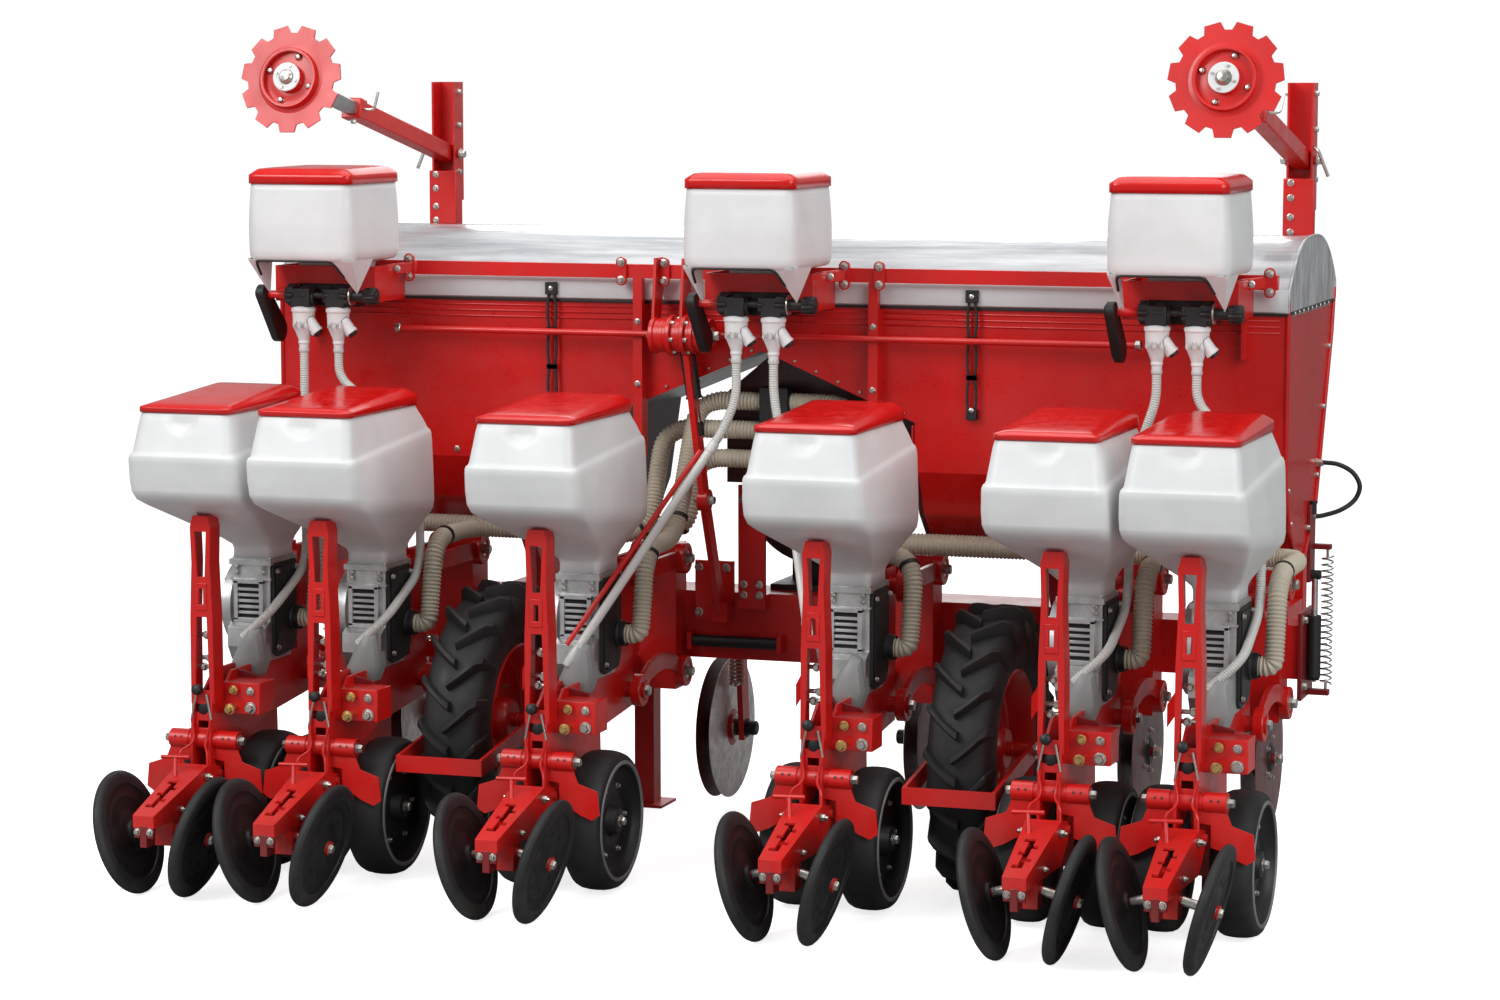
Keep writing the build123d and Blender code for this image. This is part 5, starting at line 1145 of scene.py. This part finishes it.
def vacuum_hoses():
    """Ribbed hoses from the fan's manifold to the ports of the meters, with black clips."""
    for k, (row, order) in enumerate(zip(ROWS, HOSE_ORDER), 1):
        side = math.copysign(1, row)
        z, turn, y = HOSE_RUNS[order]
        down = row + 130
        points = [(side * 40, 846, z), (side * turn, 846, z), (side * turn, y, 880)]
        if order:
            points.append((down, y, 880))
        points += [(down, 470, 880), (down, 420, 650), (row + 80, 420, 650)]
        path = smooth_path([place(*p) for p in points], HOSE_BEND, 10)
        b = Build()
        ribbed(b, path, 26.5, 22.0, 10.5, 0, 14)
        rod(b, (row + 62, 420, 650), (row + 84, 420, 650), 25, 1, 24)
        for share in HOSE_CLIPS:
            spot = int(len(path) * share)
            way = path[spot + 1] - path[spot]
            b.lathe([(-5, 24), (-5, 27.8), (5, 27.8), (5, 24)], path[spot], way, 20, 1)
        b.piece(f"vacuum_hose_{k}_ribbed", "machine", "hose_beige", HOSE, BLACK, replaces=["vacuum_hoses"])


MIDDLE_TUBES = {   # row: soft tube below the cup, white pipe that it ends in
    3: ([(-25, 455, 1198), (-52, 438, 1152)], [(-48, 441, 1158), (-366, 246, 618)]),
    4: ([(150, 460, 1120), (178, 417, 1026)], [(176, 420, 1032), (274, 270, 704)]),
}
TUBE_DROP = {3: 1285, 4: 1300}
PIPE_BRACE = ((-78, 436, 1150), (-388, 246, 640))
PIPE_BOLTS = [(-62, 440, 1152, 11, 3), (-82, 428, 1112, 11, 3)]


def seed_tubes():
    """Ribbed clear tubes; those of the two middle rows run on as white pipes."""
    for k, (row, x) in enumerate(zip(ROWS, CUPS), 1):
        b = Build()
        side = row + 84
        outer = [(side, 474, 1120), (side, 474, 790), (side, 251, 690), (row - 4, 251, 612)]
        soft, pipe = MIDDLE_TUBES.get(k, (outer, []))
        soft = [(x, 470, 1392), (x, 470, TUBE_DROP.get(k, 1315)), *soft]
        if k == 3:
            rod(b, *PIPE_BRACE, 7, 2)
            bolts(b, 0, PIPE_BOLTS, (-0.4, -1, 0))
        ribbed(b, smooth_path([place(*p) for p in soft], 0.07, 8), 12.6, 10.6, 6.4, 0, 12)
        if pipe:
            rod(b, *pipe, 12, 1, 24)
            head, foot = place(*pipe[0]), place(*pipe[1])
            b.lathe([(-14, 12.5), (-13, 14), (13, 14), (14, 12.5)], head, foot - head, 24, 1)
            b.lathe([(-30, 13), (-28, 14.2), (34, 13.2), (40, 10)], foot, foot - head, 24, 0)
        b.piece(f"seed_tube_{k}_ribbed", "machine", "tube_clear", CLEAR, PIPE, RED, ZINC,
                replaces=["seed_tubes"])


# Coulters, markers, hitch and fan
STEEL_DISC = [(-3, 54), (-3, 186), (-0.8, 205), (0.8, 205), (3, 186), (3, 54)]
DEPTH_DISC = [(37, 40), (37, 188), (39.2, 205), (40.8, 205), (43, 188), (43, 40)]
HUB_PARTS = [   # profile along the axle away from the arm, material
    ([(-24, 14.5), (-24, 22), (-22, 24), (-16, 24)], 2),
    ([(-16, 20), (-16, 37), (-15, 38), (-13, 38), (-12, 37), (-12, 28)], 3),
    ([(-12, 30), (-6, 32), (-5, 40), (-3, 54), (3, 54)], 4),
    ([(3, 54), (5, 44), (35, 42), (37, 46), (43, 46), (46, 36), (50, 34), (50, 14.5)], 2),
]
AXLE_CAP = [(46, 16), (46, 27), (49, 27), (49, 21), (74, 21), (77, 18), (77, 0.01)]
SPRING_R = 0.020
SPRING_COILS = [(t * 0.5, -0.0009 * t) for t in range(160)]   # turn, drop


def coulters():
    """Disc pairs on their hubs, with the spring and bolts of the arm that carries them."""
    for k, row in enumerate(ROWS, 1):
        body = f"coulter_disc_{k}"
        centre = Vector(joint_of(body)["pos_m"])
        out = Vector((math.copysign(1, row), 0, 0))
        b = Build()
        b.lathe(STEEL_DISC, centre, out, 96, 0)
        b.lathe(DEPTH_DISC, centre, out, 96, 1)
        for profile, number in HUB_PARTS:
            b.lathe(profile, centre, out, 48, number)
        for arm in spokes(5):
            b.bolt(centre + out * 0.043 + arm * 0.060, out, 13, 3)
        b.piece(f"coulter_{k}_dressed", body, "steel", STEEL, SHADED_DEPTH_RED, BLACK, ZINC, RED, replaces=[body])
        f = Build()
        f.bolt(centre + out * 0.0585, out, 30, 0)
        arm_x = centre.x * 1000 - out.x * 38
        top = place(arm_x, 1244, 530)
        spring = [top + Vector((math.cos(a) * SPRING_R, math.sin(a) * SPRING_R, drop))
                  for a, drop in SPRING_COILS]
        f.wire(spring, 4, 8, 1)
        rod(f, (arm_x, 1244, 505), (arm_x, 1244, 560), 7, 0)
        rod(f, (arm_x, 1226, 386), (arm_x, 1290, 386), 6, 0)
        f.lathe(AXLE_CAP, centre, -out, 32, 2)
        f.bolt(place(arm_x - out.x * 8, 1275, 540), -out, 24, 0)
        f.bolt(place(arm_x + out.x * 8, 1275, 540), out, 24, 0)
        f.piece(f"coulter_{k}_fittings", "machine", "steel", ZINC, SPRING, BLACK)


MARKER_DISH = [(6, 96), (8, 84), (24, 83.5), (27, 81.5), (27, 76), (24, 73.4), (9, 73), (8.6, 60), (11, 52),
               (11, 40), (16, 36), (30, 33), (30, 21)]
MARKER_WASHER = [(31, 21), (31, 39), (32, 40), (34.5, 40), (35.5, 39), (35.5, 21)]
MARKER_STUD = [(0, 10.5), (2, 10.5), (4, 8.5), (7, 8), (10, 5.5), (11, 0.01)]
MARKER_AXLE = [(-31, 0.01), (-31, 12), (30, 12), (33, 20), (40, 20), (43, 17), (49, 13), (51, 0.01)]
ARM_PIVOT = [(-25, 13), (-25, 24), (-23, 26), (23, 26), (25, 24), (25, 13)]
ARM_SLEEVE = 0.62        # share of the reach where the red tube ends and the plated one comes out
MAST_X = 1300.0
MAST_Y = 1570.0
MAST_BOLTS = [(-22, MAST_Y - 8, z, 15, 0) for z in (1700, 1742, 1796, 1838)]
MAST_SIDE_BOLTS = [   # x from the mast, z, size across flats
    (37, 1846, 15), (37, 1986, 15), (37, 2086, 15), (43, 1900, 24),
]


def marker_details():
    """Dished hubs of the discs, tubes and pins of the arms, bolts and cheek plates of the masts."""
    across = Vector((1, 0, 0))
    for side, word in ((-1, "left"), (1, "right")):
        pivot = Vector(joint_of(f"marker_arm_{word}")["pos_m"])
        hub = Vector(joint_of(f"marker_disc_{word}")["pos_m"])
        way = (hub - pivot).normalized()
        reach = (hub - pivot).length * 1000
        up = across.cross(way)
        dish = Build()
        dish.lathe(MARKER_DISH, hub, way, 64, 0)
        dish.lathe(MARKER_WASHER, hub, way, 48, 1)
        for i in range(4):
            a = math.pi * i / 2 + 0.35
            arm = across * math.cos(a) + up * math.sin(a)
            dish.bolt(hub + way * 0.0355 + arm * 0.0305, way, 8, 2, washer=False)
            dish.lathe(MARKER_STUD, hub + way * 0.009 + arm * 0.0635, way, 18, 2)
        dish.piece(f"marker_disc_{word}_fittings", f"marker_disc_{word}", "red_paint", RED, WHITE, ZINC)
        tubes = Build()
        for start, end, width, number in ((0, reach * ARM_SLEEVE, 50, 0), (reach * 0.61, reach - 30, 36, 1),
                                          (reach * 0.6, reach * 0.64, 60, 0)):
            h = width / 2000
            p = pivot + way * start / 1000
            ring = [p + across * sx * h + up * sy * h for sx, sy in ((-1, -1), (1, -1), (1, 1), (-1, 1))]
            tubes.plate(ring, way * (end - start) / 1000, number)
        tubes.piece(f"marker_arm_{word}_tubes", f"marker_arm_{word}", "red_paint", RED, GALVANISED,
                    bevel=0.004, replaces=[f"marker_arm_{word}"])
        pins = Build()
        pins.lathe(ARM_PIVOT, pivot, across, 32, 0)
        pins.lathe(MARKER_AXLE, hub, way, 28, 1)
        tip = pivot + way * reach * ARM_SLEEVE / 1000
        pins.bolt(tip + up * 0.030, up, 17, 1)
        pins.bolt(tip - across * 0.030, -across, 17, 1)
        handle = [tip + across * 0.030, tip + across * 0.062, tip + across * 0.070 - up * 0.05]
        pins.wire(smooth_path(handle, 0.01), 4, 8, 1)
        pins.piece(f"marker_arm_{word}_fittings", f"marker_arm_{word}", "red_paint", RED, ZINC)
        x, y = side * MAST_X, MAST_Y
        b = Build()
        bolts(b, x, MAST_BOLTS, (0, -1, 0))
        for out, z, size in MAST_SIDE_BOLTS:
            for sign in (-1, 1):
                b.bolt(place(x + sign * out, y + 30, z), (sign, 0, 0), size, 0)
        latch = [(38, 8, 1936), (52, -4, 1930), (82, -6, 1856)]
        b.wire(smooth_path([place(x + side * dx, y + dy, z) for dx, dy, z in latch], 0.015), 5, 8, 0)
        b.piece(f"marker_mast_{word}_fittings", f"marker_mast_{word}", "steel", ZINC)
        cheeks = Build()
        for sign in (-1, 1):
            cheeks.box(x + sign * 29, x + sign * 36, y - 2, y + 60, 1560, 1762)
        cheeks.box(x - 44, x + 44, y - 8, y + 2, 1690, 1850)
        cheeks.piece(f"marker_mast_{word}_plates", f"marker_mast_{word}", "red_paint", RED, bevel=0.003)


END_BLOCKS = [   # x, y and z spans at the right end
    (1420, 1432, 1000, 1172, 466, 704), (1432, 1490, 1088, 1112, 470, 486),
    (1432, 1490, 1088, 1112, 868, 882), (1430, 1440, 1062, 1132, 780, 990),
]
END_RODS = [   # start x, y, z, end x, y, z, radius, material, segments
    (1480, 1100, 484, 1480, 1100, 506, 4, 0, 18), (1480, 1100, 844, 1480, 1100, 870, 4, 0, 18),
    (1450, 1080, 520, 1450, 1080, 690, 19, 1, 24), (1450, 1080, 686, 1450, 1080, 800, 9, 2, 18),
    (1432, 1080, 800, 1466, 1080, 800, 13, 1, 18), (1432, 1080, 524, 1466, 1080, 524, 12, 1, 18),
]
COIL_TURNS = 21
COIL_STEPS = 12
COIL_FOOT = 500.0
COIL_TALL = 350.0


def machine_ends():
    """End plates of the sliding bars, with the lift cylinder and spring of the outer rows."""
    for side, word in ((-1, "left"), (1, "right")):
        plates = Build()
        for x0, x1, *rest in END_BLOCKS:
            plates.box(side * x0, side * x1, *rest)
        # the end plates take the red in painted shade
        plates.piece(f"beam_end_{word}", "machine", "red_paint", PAINTED_SHADE_RED, bevel=0.002)
        b = Build()
        coil = []
        for i in range(COIL_TURNS * COIL_STEPS + 1):
            a = 2 * math.pi * i / COIL_STEPS
            z = COIL_FOOT + COIL_TALL * i / (COIL_TURNS * COIL_STEPS)
            coil.append(place(side * 1480 + 15 * math.cos(a), 1100 + 15 * math.sin(a), z))
        b.wire(coil, 2.6, 6, 0)
        for x0, y0, z0, x1, y1, z1, radius, number, segments in END_RODS:
            rod(b, (side * x0, y0, z0), (side * x1, y1, z1), radius, number, segments)
        bolts(b, side * 1432, [(0, y, z, 19, 0) for y in (1018, 1154) for z in (504, 684)], (side, 0, 0))
        b.piece(f"end_lift_{word}", "machine", "steel", ZINC, BLACK, CHROME)


LOOP = [   # the hydraulic hose at the right end, from the tank's end wall out and back to its lower edge
    (1430, 1190, 1092), (1452, 1190, 1093), (1490, 1196, 1088), (1527, 1204, 1066), (1545, 1208, 1030),
    (1532, 1204, 992), (1498, 1180, 966), (1462, 1120, 957), (1448, 1095, 957), (1430, 1095, 957),
]
LOOP_R = 6.5


def through(points, steps=8):
    """A smooth line through every point."""
    line = []
    ends = [points[0] * 2 - points[1], *points, points[-1] * 2 - points[-2]]
    for a, p, q, b in zip(ends, ends[1:], ends[2:], ends[3:]):
        for k in range(steps):
            t = k / steps
            line.append((p * 2 + (q - a) * t + (a * 2 - p * 5 + q * 4 - b) * t ** 2
                         + (p * 3 - a - q * 3 + b) * t ** 3) / 2)
    return line + [points[-1]]


def end_hose():
    """A black hose that leaves the tank's right end wall in a loop, with its two fittings."""
    path = through([place(*p) for p in LOOP])
    b = Build()
    b.wire(path, LOOP_R, 14)
    hose = b.piece("end_hose", "machine", "black_plastic", BLACK)
    f = Build()
    for end in (LOOP[0], LOOP[-1]):
        f.lathe([(-1, 13), (4, 13), (4, 10), (16, 10), (18, 8), (18, 6)], place(*end), (1, 0, 0), 6, 0)
    rod(f, (1440, 1095, 960), (1440, 1095, 992), 9, 1)
    f.lathe([(0, 11), (6, 11), (6, 0.01)], place(1440, 1095, 992), (0, 0, 1), 20, 1)
    fittings = f.piece("end_hose_fittings", "machine", "steel", ZINC, BLACK)


FAN_Z = 960.0
FAN_BAND = [(-10, 203), (-10, 206), (-8, 208), (8, 208), (10, 206), (10, 203)]
FAN_GUARD = (150, 124, 98, 72, 46)
PLATE_BOLTS = [(x, 986, z, 19, 0) for x in (-278, -196) for z in (632, 760)]
POST_BOLTS = [(x, 960, z, 17, 0) for x in (-136, -90) for z in (690, 720, 960)]
LINK_Y = 1640.0
LINK_Z = 560.0


def around(radius, count, start=0.0):
    """x and z offsets of points round the fan's shaft."""
    turns = [start + 2 * math.pi * i / count for i in range(count)]
    return [(radius * math.cos(a), radius * math.sin(a)) for a in turns]


def hitch_and_fan():
    """Bolts of the hitch, lynch pins, guard and bands of the fan, splines of its shaft."""
    b = Build()
    bolts(b, 0, PLATE_BOLTS + POST_BOLTS, (0, -1, 0))
    b.lathe([(-134, 16.5), (134, 16.5)], place(-166, 978, 552), (1, 0, 0), 28, 1)
    bolts(b, 0, [(x, 1330, FAN_Z + z, 12, 0) for x, z in around(190, 12)], (0, 1, 0))
    for radius in FAN_GUARD:
        loop = [place(x, 1345.8, FAN_Z + z) for x, z in around(radius, 48)]
        b.wire(loop + loop[:1], 2.2, 6, 0)
    for (x0, z0), (x1, z1) in zip(around(20, 6), around(162, 6)):
        rod(b, (x0, 1346, FAN_Z + z0), (x1, 1346, FAN_Z + z1), 2.4, 0, 8)
    for y in (1205, 1315):
        b.lathe(FAN_BAND, place(0, y, FAN_Z), (0, 1, 0), 96, 1)
    for x, z in around(15.6, 6):
        rod(b, (x, 1376, FAN_Z + z), (x, 1438, FAN_Z + z), 2.6, 0, 8)
    for side in (-1, 1):
        rod(b, (side * 386, LINK_Y, LINK_Z), (side * 446, LINK_Y, LINK_Z), 14.3, 0, 28)
        rod(b, (side * 434, LINK_Y, LINK_Z - 26), (side * 434, LINK_Y, LINK_Z + 26), 4, 0, 12)
        turns = [2 * math.pi * i / 20 for i in range(21)]
        b.wire([place(side * (434 + 4 * math.cos(t)), LINK_Y + 22 * math.cos(t), LINK_Z + 22 * math.sin(t))
                for t in turns], 2.4, 6, 0)
        b.bolt(place(side * 607, 1330, 420), (side, 0, 0), 24, 0)
        b.bolt(place(side * 1300, 1644, 640), (0, 1, 0), 30, 0)
        bolts(b, side * 1300, [(0, 1196, 666, 19, 0), (0, 1250, 666, 19, 0)], (0, 0, 1))
        for z in (545, 615):
            b.bolt(place(side * 569, 960, z), (-side, 0, 0), 19, 0)
            b.bolt(place(side * 587, 960, z), (side, 0, 0), 19, 0)
        b.bolt(place(side * 823, 520, 380), (side, 0, 0), 34, 0)
    b.piece("frame_fittings", "machine", "steel", ZINC, BLACK)


press_wheels()
gauge_wheels()
drive_wheels()
seed_hopper_pieces()
lids()
unit_details()
meter_details()
granule_pieces()
rail_details()
tank_details()
cover_film()
vacuum_hoses()
seed_tubes()
coulters()
marker_details()
machine_ends()
end_hose()
hitch_and_fan()


# Floor, light and camera
FLOOR_HALF = 40.0
FLOOR_GLOW = 0.78         # only the camera sees it: the floor stays white and keeps its shadow
CAMERA_PLACE = (3202.0, -8868.0, 2151.0)
CAMERA_TURN = 18.66
CAMERA_DROP = 6.56
CAMERA_LENS = 89.71
LAMPS = [   # name, place, target, size in metres, watts
    ("key", (-3600.0, -5200.0, 5600.0), (0.0, 400.0, 800.0), 4.5, 350.0),
    ("fill", (5600.0, -3600.0, 3600.0), (300.0, 400.0, 800.0), 5.0, 200.0),
    ("top", (0.0, 900.0, 6200.0), (0.0, 500.0, 800.0), 6.0, 170.0),
    ("back", (-1500.0, 6500.0, 3600.0), (0.0, 800.0, 1200.0), 4.0, 90.0),
]


def pale_floor():
    mesh = bpy.data.meshes.new("floor")
    h = FLOOR_HALF
    mesh.from_pydata([(-h, -h, 0), (h, -h, 0), (h, h, 0), (-h, h, 0)], [], [(0, 1, 2, 3)])
    floor = bpy.data.objects.new("floor", mesh)
    bpy.context.collection.objects.link(floor)
    n = Nodes("floor_pale")
    tone = n.mix(n.ramp(n.noise(0.8, 5.0), [(0.3, 0.0), (0.7, 1.0)]), (0.84, 0.84, 0.84), (0.80, 0.80, 0.80))
    seen = n.node("AddShader", {0: n.node("BsdfDiffuse", {"Color": tone}).outputs[0],
                                1: n.node("Emission", {"Strength": FLOOR_GLOW}).outputs[0]}).outputs[0]
    n.finish(Base_Color=(0.30, 0.30, 0.30, 1.0), Roughness=0.8)
    camera_ray = n.node("LightPath").outputs["Is Camera Ray"]
    shown = n.node("MixShader", {0: camera_ray, 1: n.shader.outputs[0], 2: seen})
    n.feed(n.tree.nodes["Material Output"].inputs["Surface"], shown.outputs[0])
    floor.data.materials.append(n.material)


def lights_and_camera():
    world = bpy.data.worlds.new("studio")
    bpy.context.scene.world = world
    world.use_nodes = True
    tree = world.node_tree
    soft = tree.nodes["Background"]
    soft.inputs["Color"].default_value = (0.94, 0.94, 0.95, 1.0)
    soft.inputs["Strength"].default_value = 0.40
    white = tree.nodes.new("ShaderNodeBackground")
    white.inputs["Color"].default_value = (1.0, 1.0, 1.0, 1.0)
    white.inputs["Strength"].default_value = 1.0
    path = tree.nodes.new("ShaderNodeLightPath")
    choice = tree.nodes.new("ShaderNodeMixShader")
    tree.links.new(path.outputs["Is Camera Ray"], choice.inputs[0])
    tree.links.new(soft.outputs[0], choice.inputs[1])
    tree.links.new(white.outputs[0], choice.inputs[2])
    tree.links.new(choice.outputs[0], tree.nodes["World Output"].inputs["Surface"])
    for name, spot, target, size, watts in LAMPS:
        lamp = bpy.data.lights.new(name, "AREA")
        lamp.shape = "DISK"
        lamp.size = size
        lamp.energy = watts
        holder = bpy.data.objects.new(name, lamp)
        holder.location = place(*spot)
        holder.rotation_euler = (place(*target) - place(*spot)).to_track_quat("-Z", "Y").to_euler()
        bpy.context.collection.objects.link(holder)
    camera = bpy.data.objects.new("camera", bpy.data.cameras.new("camera"))
    camera.data.sensor_fit = "HORIZONTAL"
    camera.data.sensor_width = 36.0
    camera.data.lens = CAMERA_LENS
    camera.location = place(*CAMERA_PLACE)
    camera.rotation_euler = (math.radians(90 - CAMERA_DROP), 0, math.radians(CAMERA_TURN))
    bpy.context.collection.objects.link(camera)
    bpy.context.scene.camera = camera
    bpy.context.scene.view_settings.view_transform = "Standard"


pale_floor()
lights_and_camera()
